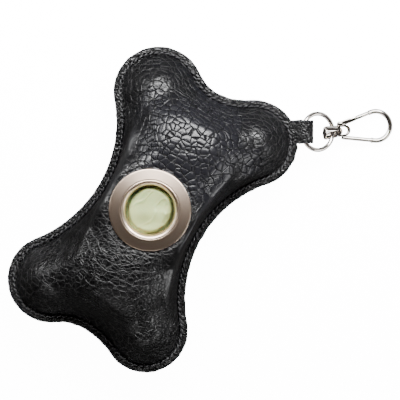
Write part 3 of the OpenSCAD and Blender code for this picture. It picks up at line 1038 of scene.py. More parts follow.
def waist_fold(p):
    """Height of the long fold that is drawn tight along each side of the waist."""
    x, y = p[:, 0], p[:, 1]
    lift = np.zeros(len(p))
    for side, crest in ((1, CREST_LEFT), (-1, CREST_RIGHT)):
        off = side * y - np.polyval(np.polyfit(CREST_X, crest, 4), x)
        lift += bell(off / np.where(off > 0, FOLD_OUTER_W, FOLD_INNER_W)) * (side * y > 5)
    return lift * smooth((FOLD_END - np.abs(x)) / FOLD_FADE)


def grid_normals(rings):
    """Normals of a grid of rings, pointing to the left of the ring direction."""
    along = np.roll(rings, -1, 1) - np.roll(rings, 1, 1)
    n = np.cross(along, np.gradient(rings, axis=0))
    return n / np.maximum(np.linalg.norm(n, axis=2, keepdims=True), 1e-9)


def away_from(rings, side):
    """Normals of a grid of rings that all point up, or down if side is -1."""
    n = -grid_normals(rings).reshape(-1, 3)
    return n * side * np.sign(n[:, 2:3] + 1e-9)


def stitch_row(outline, normals, props):
    """Closed path of the rim's stitches, their phase at each column, and their number."""
    path = outline - props.stitch_in / MM * normals
    step = np.linalg.norm(np.roll(path, -1, 0) - path, axis=1)
    run = np.concatenate([[0], np.cumsum(step)[:-1]])
    count = round(step.sum() / (props.stitch_pitch / MM))
    return path, run / step.sum() * count, count


# Section of the sewn rim, from the seam's groove to the cut edge: inset and rise
RIM_SHAPE = (
    (3.0, -0.46), (2.75, -0.30), (2.45, -0.08), (2.1, 0.04), (1.7, 0.10), (1.3, 0.12),
    (0.9, 0.07), (0.55, -0.05), (0.28, -0.22), (0.09, -0.48), (0.0, -0.85), (0.05, -1.22),
    (0.3, -1.37),
)
GROOVE_D = 0.46
DENT_D, DENT_AT, DENT_W = 0.16, 2.4, 0.45

# Nicks in the cut edge beside the tab: place and size
NICKS = (((52.7, -32.0), 0.5), ((47.9, -36.6), 0.45), ((43.6, -38.9), 0.4))
NICK_W = 1.1


def rim_rings(outline, normals, top, sign, phase, seed):
    """Rings of the sewn rim, with dents at the stitches and an uneven cut edge."""
    rings = []
    for inset, rise in RIM_SHAPE:
        flat = outline - inset * normals
        p = at_height(flat, top)
        dent = DENT_D * bell((inset - DENT_AT) / DENT_W) * np.cos(math.pi * phase) ** 6
        swell = 0.05 * waves(p, 5, seed) * smooth(inset / 0.5)
        edge = 0.06 * waves(p, 2.3, seed + 5) + 0.05 * waves(p, 7, seed + 6) - 0.05
        flat = flat + normals * (edge * smooth(1 - inset / 0.4))[:, None]
        rings.append(at_height(flat, top + sign * (rise - dent + swell)))
    return rings


def nick_edge(rings, outline, normals):
    """Rough nicks in the cut edge beside the tab."""
    for at, size in NICKS:
        near = bell(np.linalg.norm(outline - np.array(at), axis=1) / NICK_W)
        for ring in rings:
            ring[:, :2] += normals * (near * size)[:, None]


SEAT_HOLE_R = 9.7


def front_grid(seam, unit):
    """Rings of the front at equal steps along its surface, and each point's depth."""
    dense_count, count = 360, 92
    s = 1 - (1 - np.linspace(0, 1, dense_count)) ** 1.5
    flat = lerp(EYELET_R * unit[None], seam[None], s[:, None, None])
    p = flat.reshape(-1, 2)
    depth = off_curve(p, seam)
    z = RIM_TOP + front_height(p, depth) - GROOVE_D * bell(depth / 0.9)
    dense = np.dstack([flat, z.reshape(dense_count, -1)])
    step = np.linalg.norm(np.diff(dense, axis=0), axis=2)
    run = np.vstack([np.zeros(len(seam)), np.cumsum(step, axis=0)])
    skin = np.zeros((count, len(seam), 3))
    for j in range(len(seam)):
        at = np.linspace(0, run[-1, j], count)
        for k in range(3):
            skin[:, j, k] = np.interp(at, run[:, j], dense[:, j, k])
    return skin, off_curve(skin.reshape(-1, 3)[:, :2], seam)


def front_lining(outline, normals, seam, unit):
    """Rings of the plain inside, from the rim to the edge of the eyelet's hole."""
    foot = seam - (LEATHER_T + 0.2) * normals
    inner_unit = unit_of(foot)
    rings = [at_height(outline - 0.6 * normals, SEAM_Z + 0.03)]
    for f in (0, 0.03, 0.08, 0.16, 0.28, 0.42, 0.6, 0.8, 1.0):
        flat = lerp(foot, EYELET_R * inner_unit, f)
        z = SEAM_Z + 0.03 + front_height(flat, off_curve(flat, foot)) * 0.995
        rings.append(at_height(flat, z))
    rings.append(at_height(SEAT_HOLE_R * unit, SEAT_Z - LEATHER_T))
    return rings


def front_skin(props):
    """Points, faces and relief of the front panel's skin."""
    outline, normals = make_outline(props.columns)
    _, phase, _ = stitch_row(outline, normals, props)
    seam = outline - RIM_W * normals
    unit = unit_of(seam)
    skin, depth = front_grid(seam, unit)

    # Soft swells, and how strongly each place shows its cells
    p = skin.reshape(-1, 3)
    from_bulge = np.linalg.norm(p[:, :2] - np.array(BULGE), axis=1)
    # strong also sets how much the leather shader pales the cell tops, a painted highlight on
    # the bulge
    strong = smooth(1.38 - from_bulge / BULGE_REACH + 0.22 * waves(p, 16, 5))
    from_eyelet = np.linalg.norm(p[:, :2], axis=1) - EYELET_R
    fade = smooth(depth / 1.4) * smooth(from_eyelet / 1.5)
    fold = waist_fold(p)
    dip, dip_at, dip_w = FLANGE_DIP
    height = fade * sum(rise * waves(p, length, seed) for rise, length, seed in SWELLS)
    height += fade * fold - dip * bell((from_eyelet - dip_at) / dip_w)
    # Where the fold lifts drawn past 0.6, the leather shader paints a highlight streak along the
    # crest
    drawn = 0.55 * calm(p) + 0.5 * fold
    skin = (p + away_from(skin, 1) * height[:, None]).reshape(skin.shape)

    # Seat under the flange, the skin, the rim, and the lining inside
    n = len(seam)
    seat = [at_height(r * unit, SEAT_Z - 0.02) for r in (SEAT_HOLE_R, 12.5, 14.8)]
    rim = rim_rings(outline, normals, RIM_TOP, 1, phase, 31)
    nick_edge(rim, outline, normals)
    lining = front_lining(outline, normals, seam, unit)
    points, faces = shell([*seat, *skin, *rim, *lining], True)
    strengths = [
        np.concatenate(
            [np.zeros(len(seat) * n), values, np.full(len(rim) * n, on_rim),
             np.zeros(len(lining) * n)]
        )
        for values, on_rim in ((strong, 0.0), (drawn, -0.9), (fade, 0.8))
    ]
    return points, faces, strengths


def back_skin(props):
    """Points, faces and relief of the back panel's skin, with the refill opening."""
    outline, normals = make_outline(560)
    _, phase, _ = stitch_row(outline, normals, props)
    n = len(outline)
    unit = unit_of(outline)

    # A rounded oblong hole, from a superellipse
    corner = 8
    part = np.abs(unit) / (np.array(REFILL) / 2)
    opening = unit * ((part**corner).sum(1) ** (-1 / corner))[:, None]

    def ring(inset, z):
        return at_height(outline - inset * normals, z)

    flat_in, hem = RIM_W + BACK_SIDE_W, opening + 0.4 * unit
    lip = [
        at_height(opening, BACK_Z + 0.5),
        at_height(opening + 0.1 * unit, BACK_Z + 0.15),
        at_height(hem, BACK_Z),
    ]
    edge = outline - flat_in * normals
    skin = [at_height(lerp(hem, edge, f), BACK_Z) for f in np.linspace(0.03, 1, 34)]
    for f in np.linspace(0.05, 1, 18):
        rise = lerp(np.interp(f, (0, 0.25, 0.7, 1), (0, 0.2, 0.7, 1)), smooth(f), 0.4)
        skin.append(ring(lerp(flat_in, RIM_W, f), lerp(BACK_Z, RIM_LOW + 0.4, rise)))
    skin = np.array(skin)

    # Shallow sags where the flap doesn't lie
    p = skin.reshape(-1, 3)
    fade = smooth((off_curve(p[:, :2], outline) - RIM_W) / 2)
    under = smooth((FLAP_Y + 1.5 - np.abs(p[:, 1])) / 2) * smooth((35 - np.abs(p[:, 0])) / 2)
    height = fade * (1 - under) * 0.10 * np.minimum(waves(p, 12, 45) - 1.2, 0)
    skin = (p + away_from(skin, -1) * height[:, None]).reshape(skin.shape)

    rim = rim_rings(outline, normals, RIM_LOW, -1, phase, 51)
    inside, foot = BACK_Z + LEATHER_T, RIM_W + 1
    lining = [
        ring(0.6, SEAM_Z - 0.03),
        ring(foot, SEAM_Z - 0.03),
        ring(foot + BACK_SIDE_W * 0.3, lerp(inside, SEAM_Z, 0.7)),
        ring(foot + BACK_SIDE_W * 0.75, lerp(inside, SEAM_Z, 0.2)),
        ring(foot + BACK_SIDE_W, inside),
        at_height(opening + 0.3 * unit, inside),
        at_height(opening, inside - 0.3),
    ]
    points, faces = shell([*lip, *skin, *rim, *lining], True)
    strengths = [
        np.concatenate(
            [np.zeros(len(lip) * n), on_skin * np.ones(len(p)), np.full(len(rim) * n, on_rim),
             np.zeros(len(lining) * n)]
        )
        for on_skin, on_rim in ((0.45, 0.0), (0.0, 0.0), (fade, 0.7))
    ]
    return points, faces, strengths


# Section of the flap across its root: heights under and over it, by Y
FLAP_UNDER = ((-FLAP_Y, 0), (7.0, 0), (9.0, 1.15), (10.8, 1.15), (12.2, 2.3))
FLAP_OVER = ((-FLAP_Y, 1.4), (6.4, 1.4), (8.4, 2.5), (12.2, 2.5))


def flap_skin():
    """Points, faces and relief of the refill flap, raised at its sewn root."""
    half_x, half_y, corner, columns = FLAP_L / 2, FLAP_Y, 4.0, 300
    under_rings, over_rings, last = 34, 22, 0.985
    corners = [
        ((x * (half_x - corner), y * (half_y - corner)), corner, start, start + 90)
        for (x, y), start in zip(QUARTER_WAY, (0, 90, 180, 270))
    ]
    loop = resampled(bent_loop(corners, 14), columns, closed=True)

    def ring(f, side):
        spine = np.clip(loop, (-half_x + 10, -2), (half_x - 10, 2)) * (1, 0.02)
        flat = lerp(spine, loop, f)
        return at_height(flat, np.interp(flat[:, 1], *zip(*side)))

    lower = [ring(f, FLAP_UNDER) for f in np.linspace(0.0, last, under_rings)]
    upper = [ring(f, FLAP_OVER) for f in np.linspace(last, 0.0, over_rings)]
    low, top = ring(1.0, FLAP_UNDER), ring(1.0, FLAP_OVER)
    edge = [at_height(low[:, :2], lerp(low[:, 2], top[:, 2], f)) for f in (0.28, 0.72)]
    points = np.vstack([*lower, *edge, *upper])
    fade = np.repeat((0.8, 0.3, 0.0), np.array((under_rings, len(edge), over_rings)) * columns)
    strengths = (np.full(len(points), 0.4), np.zeros(len(points)), fade)
    return points, ring_faces(len(points) // columns, columns, False), strengths


def tab_section():
    """Section of the tab's strip, as places across it and through its thickness."""
    half_w, half_t, round_w, bulge = TAB_W / 2, TAB_T / 2, 0.25, 0.28
    section = []
    for side in (1, -1):
        for v in np.linspace(-side, side, 33):
            section.append((v * (half_w - round_w), side * half_t))
        for t in np.linspace(math.pi / 2, -math.pi / 2, 7)[1:-1]:
            across = half_w - round_w + bulge * math.cos(t)
            section.append((side * across, side * half_t * math.sin(t)))
    return np.array(section)


def tab_band():
    """Points, faces and relief of the tab: one strip folded round, with its legs sewn in."""
    fold_x = TAB_L - TAB_GAP / 2 - TAB_T
    mid = TAB_GAP / 2 + TAB_T / 2
    leg = [(-3.4, 0.35), (-2.2, 0.5), (-1.0, 0.95), (0.2, 1.5), (1.2, 1.95), (2.0, mid)]
    a = np.linspace(math.pi / 2, -math.pi / 2, 15)
    fold = [(fold_x + mid * math.cos(t), mid * math.sin(t)) for t in a]
    path = np.array(leg + fold + [(x, -z) for x, z in reversed(leg)])
    path = resampled(path, 90)
    way = unit_of(np.gradient(path, axis=0))
    section = tab_section()
    rings = []
    for (at_x, at_z), (way_x, way_z) in zip(path, way):
        pinch = 1 + 0.05 * math.exp(-(((at_x - 0.4) / 1.2) ** 2))
        thick = np.interp(at_x, (-2.4, -0.6), (0.5, 1.0))
        y = section[:, 0] * pinch + RING_PIVOT[1]
        x = at_x - way_z * section[:, 1] * thick
        z = at_z + way_x * section[:, 1] * thick
        rings.append(np.stack([x, y, z], -1))
    p, faces = shell(rings, False)
    inside = (np.hypot(p[:, 0] - fold_x, p[:, 2]) < mid) & (p[:, 0] > 0.3)
    fade = np.where(inside, 0.0, 1.0) * smooth((p[:, 0] + 0.2) / 0.8)
    from_edge = np.abs(p[:, 1] - RING_PIVOT[1]) - TAB_W / 2
    fray = 0.10 * waves(p, 1.6, 77) * smooth((from_edge + 0.5) / 0.4)
    p[:, 1] += np.sign(p[:, 1]) * np.minimum(fray, 0.12) * (p[:, 0] > 0)
    return placed(p, AT_TAB), faces, (np.zeros(len(p)), np.full(len(p), -0.5), fade)


def build_skins(props, rows):
    """Builds leather pieces from rows of name, solid, body, shape, leather and sharpness."""
    for name, node, body, made, kind, sharp in rows:
        obj = pebbled(name, made, sharp, props, leather_of(props, kind))
        finish_piece(obj, body, "leather", node)


class OBJECT_OT_pouch_skins(bpy.types.Operator):
    """Builds the front and back panels with their pebbled grain and sewn rim"""

    bl_idname = "object.pouch_skins"
    bl_label = "Leather panels"

    def execute(self, context):
        props = context.scene.pouch_leather
        front = ("front_leather", "front_panel", "pouch", front_skin(props), "panel", 80)
        back = ("back_leather", "back_panel", "pouch", back_skin(props), "panel", 80)
        build_skins(props, (front, back))
        return {"FINISHED"}


class OBJECT_OT_pouch_straps(bpy.types.Operator):
    """Builds the refill flap and the folded tab"""

    bl_idname = "object.pouch_straps"
    bl_label = "Flap and tab"

    def execute(self, context):
        flap = ("flap_leather", "back_flap", "flap", flap_skin(), "panel", 70)
        tab = ("tab_leather", "tab_loop", "pouch", tab_band(), "strap", 70)
        build_skins(context.scene.pouch_leather, (flap, tab))
        return {"FINISHED"}


# ---- Stitches ----

STITCH_SHARE = 0.92  # Length of a stitch as a share of the pitch
STITCH_RISE, STITCH_DIP = 0.20, 0.62
PLY_L = 0.55  # Length of thread in which its plies turn once round
THREAD_SIDES = 8
WANDER = 0.00006


def stitch_template(name, props, sign):
    """One stitch: a short arch of twisted thread whose ends dip into their holes."""
    x = np.linspace(-0.5, 0.5, 9)
    from_middle = 2 * np.abs(x)
    length = props.stitch_pitch / MM * STITCH_SHARE
    lift = STITCH_RISE - STITCH_DIP * from_middle**3.2
    thick = props.thread_d / MM / 2 * (1 - 0.35 * from_middle**4)
    path = np.stack([x * length, 0 * x, sign * lift], -1)
    obj = make_object(name, *tube(path, thick, THREAD_SIDES), sharp=80)
    around = np.tile(np.arange(THREAD_SIDES) / THREAD_SIDES, len(x))
    set_attribute(obj, "ply", np.repeat(x, THREAD_SIDES) * length / PLY_L + around)
    return obj


def sew(name, path, closed, count, template, props, seed, body):
    """A row of stitches along a path, as one plain mesh that rides on a body."""
    edges = [(i, i + 1) for i in range(len(path) - 1)]
    if closed:
        edges.append((len(path) - 1, 0))
    obj = new_object(name, path, edges, [])
    values = {
        "Stitch": template,
        "Count": count,
        "Slant": props.slant,
        "Wander": WANDER,
        "Seed": seed,
        "Thread": shared("thread", thread_material, props),
    }
    through_nodes(obj, shared("stitch row", stitch_tree), values)
    finish_piece(obj, body, "leather")


class OBJECT_OT_pouch_stitches(bpy.types.Operator):
    """Sews the rim on both sides and the flap's root and fastener"""

    bl_idname = "object.pouch_stitches"
    bl_label = "Stitches"

    def execute(self, context):
        props = context.scene.pouch_leather
        up = stitch_template("stitch_up", props, 1)
        down = stitch_template("stitch_down", props, -1)
        row, _, count = stitch_row(*make_outline(1200), props)
        front, back = at_height(row, RIM_TOP - 0.02), at_height(row, RIM_LOW + 0.02)
        root = [(x, 10.2, 1.1) for x in np.linspace(-29.5, 29.5, 40)]
        band = at_height([(-23.2, -11.1), (23.2, -11.1), (23.2, -8.7), (-23.2, -8.7)], 0.06)
        for seed, (name, path, closed, number, template, body) in enumerate(
            (
                ("front_stitches", front, True, count, up, "pouch"),
                ("back_stitches", back, True, count, down, "pouch"),
                ("flap_root_stitches", root, False, 27, down, "flap"),
                ("fastener_stitches", band, True, 44, down, "flap"),
            ),
            start=3,
        ):
            sew(name, path, closed, number, template, props, seed, body)
        for template in (up, down):
            bpy.data.objects.remove(template)
        return {"FINISHED"}


# ---- Eyelet ----


def eyelet_profile():
    """Section of the eyelet: bevel, coned flange, bead, funnel, barrel and clinched foot."""
    bevel, cone_foot, cone_rise, cone_r = 0.26, 0.40, 0.84, (15.22, 11.3)
    bead_r, bead_z, bead = 10.85, 1.02, (0.4, 0.24)
    funnel_w, funnel_h, funnel_foot = 1.6, 2.2, -1.1
    top = [(EYELET_R, -0.05), (EYELET_R, 0.12)]
    top += [(EYELET_R - bevel * f, lerp(0.14, cone_foot, f)) for f in np.linspace(0, 1, 4)]
    top += [(lerp(*cone_r, f), cone_foot + cone_rise * f) for f in np.linspace(0.05, 1, 12)]
    for a in np.radians(np.linspace(-50, 50, 9)):
        top.append((bead_r - bead[0] * math.sin(a), bead_z + bead[1] * math.cos(a)))
    for a in np.radians(np.linspace(78, 0, 16)):
        r = BORE_R + 0.25 + funnel_w * (1 - math.cos(a))
        top.append((r, funnel_foot + funnel_h * math.sin(a)))
    foot = SEAT_Z - LEATHER_T - 0.5 - 0.35
    barrel = [
        (BORE_R, 0.5), (9.02, 0.2), (9.12, 0.04), (9.3, 0), (9.55, 0.03), (9.72, 0.18),
        (9.74, 0.36), (9.6, 0.52), (9.45, 0.62),
    ]
    profile = [(r, SEAT_Z + z) for r, z in top] + [(r, foot + z) for r, z in barrel]
    return profile + [(9.45, SEAT_Z)]


class OBJECT_OT_pouch_eyelet(bpy.types.Operator):
    """Builds the turned eyelet and finishes the washer behind it"""

    bl_idname = "object.pouch_eyelet"
    bl_label = "Eyelet"

    def execute(self, context):
        nickel = turned_material(context.scene.pouch_fittings)
        obj = make_object("eyelet", *lathe(eyelet_profile(), 192), sharp=50)
        paint(obj, nickel)
        finish_piece(obj, "pouch", "nickel", "eyelet_flange")
        paint(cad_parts["eyelet_washer"], nickel)
        return {"FINISHED"}


# ---- Ring, swivel and snap hook ----


def ring_parts():
    """The wire ring."""
    a = np.linspace(0, 2 * math.pi, 160, endpoint=False)
    x = RING_R - RING_INSET + RING_R * np.cos(a)
    path = np.stack([x, RING_R * np.sin(a), 0 * a], -1)
    points, faces = tube(path, RING_WIRE_R, 28, closed=True)
    return placed(points, AT_RING), faces


def swivel_parts():
    """The eye's flat band and the stem with its spread head."""
    length, half, corner, band = 5.7, 3.2, 1.3, 0.85
    far, side = -length + corner, half - corner
    edges = ((corner, -0.55, 2.15, 0.45), (corner - band, -1.15, 1.5, 0.25))
    loops = [
        bent_loop(
            [
                ((far, side), r, 90, 180),
                ((far, -side), r, 180, 270),
                ((root_x, -root_y), root_r, 280, 360),
                ((root_x, root_y), root_r, 0, 80),
            ],
            12,
        )
        for r, root_x, root_y, root_r in edges
    ]
    plate = framed_plate(*loops, 1.3, 0.32, 4)
    head = [
        (0.95, -0.4), (0.95, 0.92), (1.02, 1.0), (1.25, 1.04), (1.3, 1.12), (1.22, 1.3),
        (1.0, 1.52), (0.7, 1.68), (0.35, 1.76),
    ]
    points, faces = lathe(head, 48, closed=False)
    points, faces = merged(plate, (placed(points, turn(math.pi / 2, "Y")), faces))
    return placed(points, AT_HOOK @ turn(EYE_ROLL, "X")), faces


def arm_point(side, along):
    """A point on the line of the arm (side -1) or of the gate (side 1)."""
    a = side * ARM_ANGLE
    return np.array([PIN_AT[0] + along * math.cos(a), side * PIN_AT[1] + along * math.sin(a), 0])


def ear(low, high):
    """A short round post with softened rims that holds one end of the pin."""
    r, bevel = 1.15, 0.12
    soft = bevel * 0.3
    profile = [(r - bevel, low), (r - soft, low + soft), (r, low + bevel)]
    profile += [(r, high - bevel), (r - soft, high - soft), (r - bevel, high)]
    points, faces = lathe(profile, 40, closed=False)
    return points + np.array([*PIN_AT, 0]), faces


def base_loop(start, half, corner, round_x):
    """Outline of the base or of its window: square at the eye's end, round at the other."""
    return bent_loop(
        [
            ((start + corner, -half + corner), corner, 180, 270),
            ((round_x, 0), half, -90, 90),
            ((start + corner, half - corner), corner, 90, 180),
        ],
        24,
    )


def hook_parts():
    """The windowed base with its ears, the fixed arm, the bow and the nose."""
    length, half, depth, wall, window, cheek = 4.7, 2.2, 1.5, 0.9, 1.4, 0.78
    round_x = length - half
    outer = base_loop(0.0, half, 0.3, round_x)
    inner = base_loop(wall, window, 0.2, round_x)
    base = framed_plate(outer, inner, depth, 0.18, 3)
    arm = [arm_point(-1, s) for s in np.linspace(-0.2, GATE_L - 0.35, 20)]
    arm_r = np.full(len(arm), HOOK_WIRE_R - 0.13)
    arm_r[0] *= 0.8

    # Collar where the bow's wire meets the arm, the bow, and the nose that the gate shuts on
    collar = ((-0.42, 0.8), (-0.38, 1.02), (0.0, 1.06), (0.12, 1.02), (0.16, 0.93))
    nose = ((0.1, 0.9), (0.4, 0.9), (0.55, 0.92), (0.62, 0.98), (0.8, 0.98), (0.86, 0.88))
    sweep = math.pi / 2 + ARM_ANGLE
    bow = [(arm_point(-1, GATE_L + s), r) for s, r in collar]
    for s in np.linspace(GATE_L + 0.3, ARM_L - 0.1, 5):
        bow.append((arm_point(-1, s), HOOK_WIRE_R))
    for a in np.linspace(-sweep, sweep, 72):
        at = np.array([BOW_X + BOW_R * math.cos(a), BOW_R * math.sin(a), 0])
        bow.append((at, HOOK_WIRE_R))
    bow += [(arm_point(1, ARM_L - s), r) for s, r in nose]
    path, radii = zip(*bow)
    ears = ear(-depth, -cheek), ear(cheek, depth)
    points, faces = merged(base, *ears, tube(arm, arm_r, 24), tube(path, radii, 28))
    return placed(points, AT_HOOK), faces


def gate_parts():
    """The gate: two cheeks on the pin, the web ahead of the base, and the round bar."""
    cheek_z, cheek_t, web_end, hole_r = 1.6, 0.5, 6.2, 0.55
    outer = bent_loop([((0, 0), 0.9, 90, 270), ((web_end - 0.4, 0), 0.75, -90, 90)], 20)
    inner = bent_loop([((0, 0), hole_r, 90, 270), ((0, 0), hole_r, -90, 90)], 20)
    parts = []
    for z in (-cheek_z - cheek_t / 2, cheek_z + cheek_t / 2):
        points, faces = framed_plate(outer, inner, cheek_t / 2, 0.1, 2)
        parts.append((points + np.array([0, 0, z]), faces))
    span = cheek_z + cheek_t - 0.05
    web = [(web_end - 0.5, 0, z) for z in np.linspace(-span, span, 9)]
    parts.append(tube(web, [0.55, 0.66, 0.7, 0.72, 0.72, 0.72, 0.7, 0.66, 0.55], 24))
    bar = ((web_end - 0.6, 0.6), (web_end, GATE_R), (8.5, GATE_R), (GATE_L - 0.4, GATE_R))
    bar += ((GATE_L - 0.12, GATE_R - 0.05), (GATE_L, GATE_R - 0.2))
    parts.append(tube([(x, 0, 0) for x, _ in bar], [r for _, r in bar], 28))
    points, faces = merged(*parts)
    local = shift(*PIN_AT, 0) @ turn(ARM_ANGLE, "Z")
    return placed(points, AT_HOOK @ local), faces


def pin_parts():
    """The riveted pin with a domed head at each end."""
    half, shank_r = 2.15, 0.5
    head = ((0.35, 0.26), (0.6, 0.2), (0.78, 0.05), (0.8, 0))
    profile = [(r, -half - z) for r, z in head] + [(shank_r, -half), (shank_r, half)]
    profile += [(r, half + z) for r, z in reversed(head)]
    points, faces = lathe(profile, 36, closed=False)
    return placed(points, AT_HOOK @ shift(*PIN_AT, 0)), faces


def spring_parts():
    """The torsion spring round the pin, with its leg in the gate."""
    coil_r, pitch, turns, wire_r = 0.75, 0.42, 2.5, 0.15
    f = np.linspace(0, 1, 90)
    a = math.pi / 2 + ARM_ANGLE + 2 * math.pi * turns * (1 - f)
    coil = np.stack([coil_r * np.cos(a), coil_r * np.sin(a), pitch * turns * (f - 0.5)], -1)
    along = np.array([math.cos(ARM_ANGLE), math.sin(ARM_ANGLE), 0])
    leg = [coil[-1] + s * along for s in (0.6, 1.5, 2.5, 3.5, 4.6)]
    points, faces = tube(np.vstack([coil, leg]), wire_r, 12)
    return placed(points, AT_HOOK @ shift(*PIN_AT, 0)), faces


class OBJECT_OT_pouch_fittings(bpy.types.Operator):
    """Builds the ring, the swivel eye and the snap hook with its sprung gate"""

    bl_idname = "object.pouch_fittings"
    bl_label = "Ring and hook"

    def execute(self, context):
        chrome = polished_material(context.scene.pouch_fittings)
        for name, node, body, made in (
            ("wire_ring", "o_ring", "ring", ring_parts()),
            ("swivel", "swivel_eye", "eye", swivel_parts()),
            ("snap_hook", "hook_body", "hook", hook_parts()),
            ("snap_gate", "gate", "gate", gate_parts()),
            ("snap_pin", "gate_pin", "hook", pin_parts()),
            ("snap_spring", "gate_spring", "hook", spring_parts()),
        ):
            obj = make_object(name, *made, sharp=45)
            paint(obj, chrome)
            finish_piece(obj, body, "chrome", node)
        return {"FINISHED"}


# ---- Roll of bags ----

FILM_T = 0.00012
END_HALF = (15.0, 13.0)  # Half the width and half the visible length of the film's end
END_Z = 33.12  # Height to which the eyelet's barrel lets the film's end rise


def roll_parts(props):
    """The wound roll: soft folds along it and the edges of its layers at the ends."""
    half, segments = ROLL_L / 2 - 0.8, 192
    radii = np.arange(CORE_R + 0.15, ROLL_R - 0.3, props.layer / MM / 2)
    layers = [(r, 0.35 * (i % 2)) for i, r in enumerate(radii)]
    a = np.linspace(0, 2 * math.pi, segments, endpoint=False)

    def ring(r, x, soft=0.0):
        p = np.stack([np.full(segments, x), r * np.cos(a), r * np.sin(a)], -1)
        long_folds = 0.10 * waves(p * np.array([0.3, 1, 1]), 4, 82)
        lift = np.clip(soft * (0.16 * waves(p, 7, 81) + long_folds - 0.25), -0.6, 0.2)
        p[:, 1:] *= ((r + lift) / r)[:, None]
        return p

    rings = [ring(r, -half + dip) for r, dip in layers]
    rings.append(ring(ROLL_R - 0.4, -half + 0.1, 1.0))
    rings += [ring(ROLL_R, x, 1.0) for x in np.linspace(-half + 0.5, half - 0.5, 76)]
    rings.append(ring(ROLL_R - 0.4, half - 0.1, 1.0))
    rings += [ring(r, half - dip) for r, dip in reversed(layers)]
    points, faces = shell(rings, True)
    return points + np.array([0, 0, ROLL_Z]), faces


def film_sheet(props):
    """Points and faces of the outer bag's loose end, over the roll under the eyelet."""
    n, swell = 100, props.swell / MM
    x, y = np.meshgrid(*(np.linspace(-half, half, n) for half in END_HALF))
    p = np.stack([x.ravel(), y.ravel(), 0 * x.ravel()], -1)
    r = np.hypot(p[:, 0], p[:, 1])
    over = ROLL_Z + np.sqrt(np.maximum((ROLL_R + 0.45) ** 2 - p[:, 1] ** 2, 4))
    p[:, 2] = np.minimum(END_Z, over + 1.6 * smooth((11 - r) / 6))
    inside = smooth((8.75 - r) / 1.3)
    crease = bell(waves(p, 7.0, 91) / 0.22) * smooth(0.5 + waves(p, 8, 94))
    folds = swell * (0.6 * waves(p, 7.5, 92) + 0.9 * crease)
    p[:, 2] += inside * (1.15 + folds) - (1 - inside) * 0.1 * np.abs(waves(p, 5, 93))
    corners = (i * n + j for i in range(n - 1) for j in range(n - 1))
    return p, [(a, a + 1, a + n + 1, a + n) for a in corners]


class OBJECT_OT_pouch_roll(bpy.types.Operator):
    """Builds the roll of film bags, its loose end under the eyelet and its core"""

    bl_idname = "object.pouch_roll"
    bl_label = "Roll of bags"

    def execute(self, context):
        props = context.scene.pouch_roll
        film = film_material(props)
        roll = make_object("film_roll", *roll_parts(props), sharp=80)
        paint(roll, film)
        finish_piece(roll, "roll", "film", "bag_roll")
        points, faces = film_sheet(props)
        end = new_object("film_end", points, [], faces)
        thick = end.modifiers.new("film", "SOLIDIFY")
        thick.thickness = FILM_T
        thick.offset = 0
        paint(end, film)
        finish_piece(end, "pouch", "film")
        paint(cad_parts["roll_core"], card_material())
        return {"FINISHED"}


class OBJECT_OT_pouch_fastener(bpy.types.Operator):
    """Finishes the two strips of the touch fastener"""

    bl_idname = "object.pouch_fastener"
    bl_label = "Touch fastener"

    def execute(self, context):
        for node, scale in (("hook_strip", 1900.0), ("loop_strip", 2600.0)):
            paint(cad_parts[node], fabric_material(node, scale))
        return {"FINISHED"}


# ---- Stage ----

# Middle of the photograph's view on the floor, and the part's direction that is up in it
VIEW_MIDDLE = (0.0125, -0.0145)
VIEW_UP = (0.8704, 0.4924)

# Colours round the stage that gloss picks up: over it, at its sides and under the horizon
ROOM = (0.042, 0.036, 0.032)
WALL = (0.022, 0.022, 0.024)
TABLE = (0.06, 0.058, 0.056)

# Lights: name, what gives its power, share of that, place right, up and over, and size
LIGHTS = (
    ("key", "key", 1.0, (0.02, 0.16, 0.20), (0.32, 0.09)),
    ("spark", "key", 0.4, (0.30, 0.34, 0.45), (0.07, 0.07)),
    ("side", "strip", 1.0, (0.54, -0.28, 0.17), (0.5, 0.09)),
    ("left", "strip", 1.0, (-0.52, 0.30, 0.17), (0.5, 0.09)),
    ("low", "strip", 0.4, (-0.10, -0.50, 0.20), (0.5, 0.09)),
)
CARDS = ((0.5, 0.1), (-0.5, 0.1), (0.0, 0.5), (0.0, -0.5))
CARD_Z = 0.12
CARD_SIZE = (0.6, 0.2)
FLOOR_HALF = 3000
FLOOR_Z = -0.4
SENSOR_W = 36


def view_point(right, up, z):
    """A place on the stage from distances right and up in the photograph's view."""
    (x, y), (ux, uy) = VIEW_MIDDLE, VIEW_UP
    return Vector((x + right * uy + up * ux, y - right * ux + up * uy, z))


def soft_light(name, at, power, size):
    """A rectangular soft light that looks at the part's middle."""
    data = bpy.data.lights.new(name, "AREA")
    data.shape = "RECTANGLE"
    data.size, data.size_y = size
    data.energy = power
    obj = bpy.data.objects.new(name, data)
    obj.location = at
    target = Vector((*VIEW_MIDDLE, 0.02))
    obj.rotation_euler = (target - at).to_track_quat("-Z", "Y").to_euler()
    obj.visible_camera = False
    bpy.context.scene.collection.objects.link(obj)
    return obj


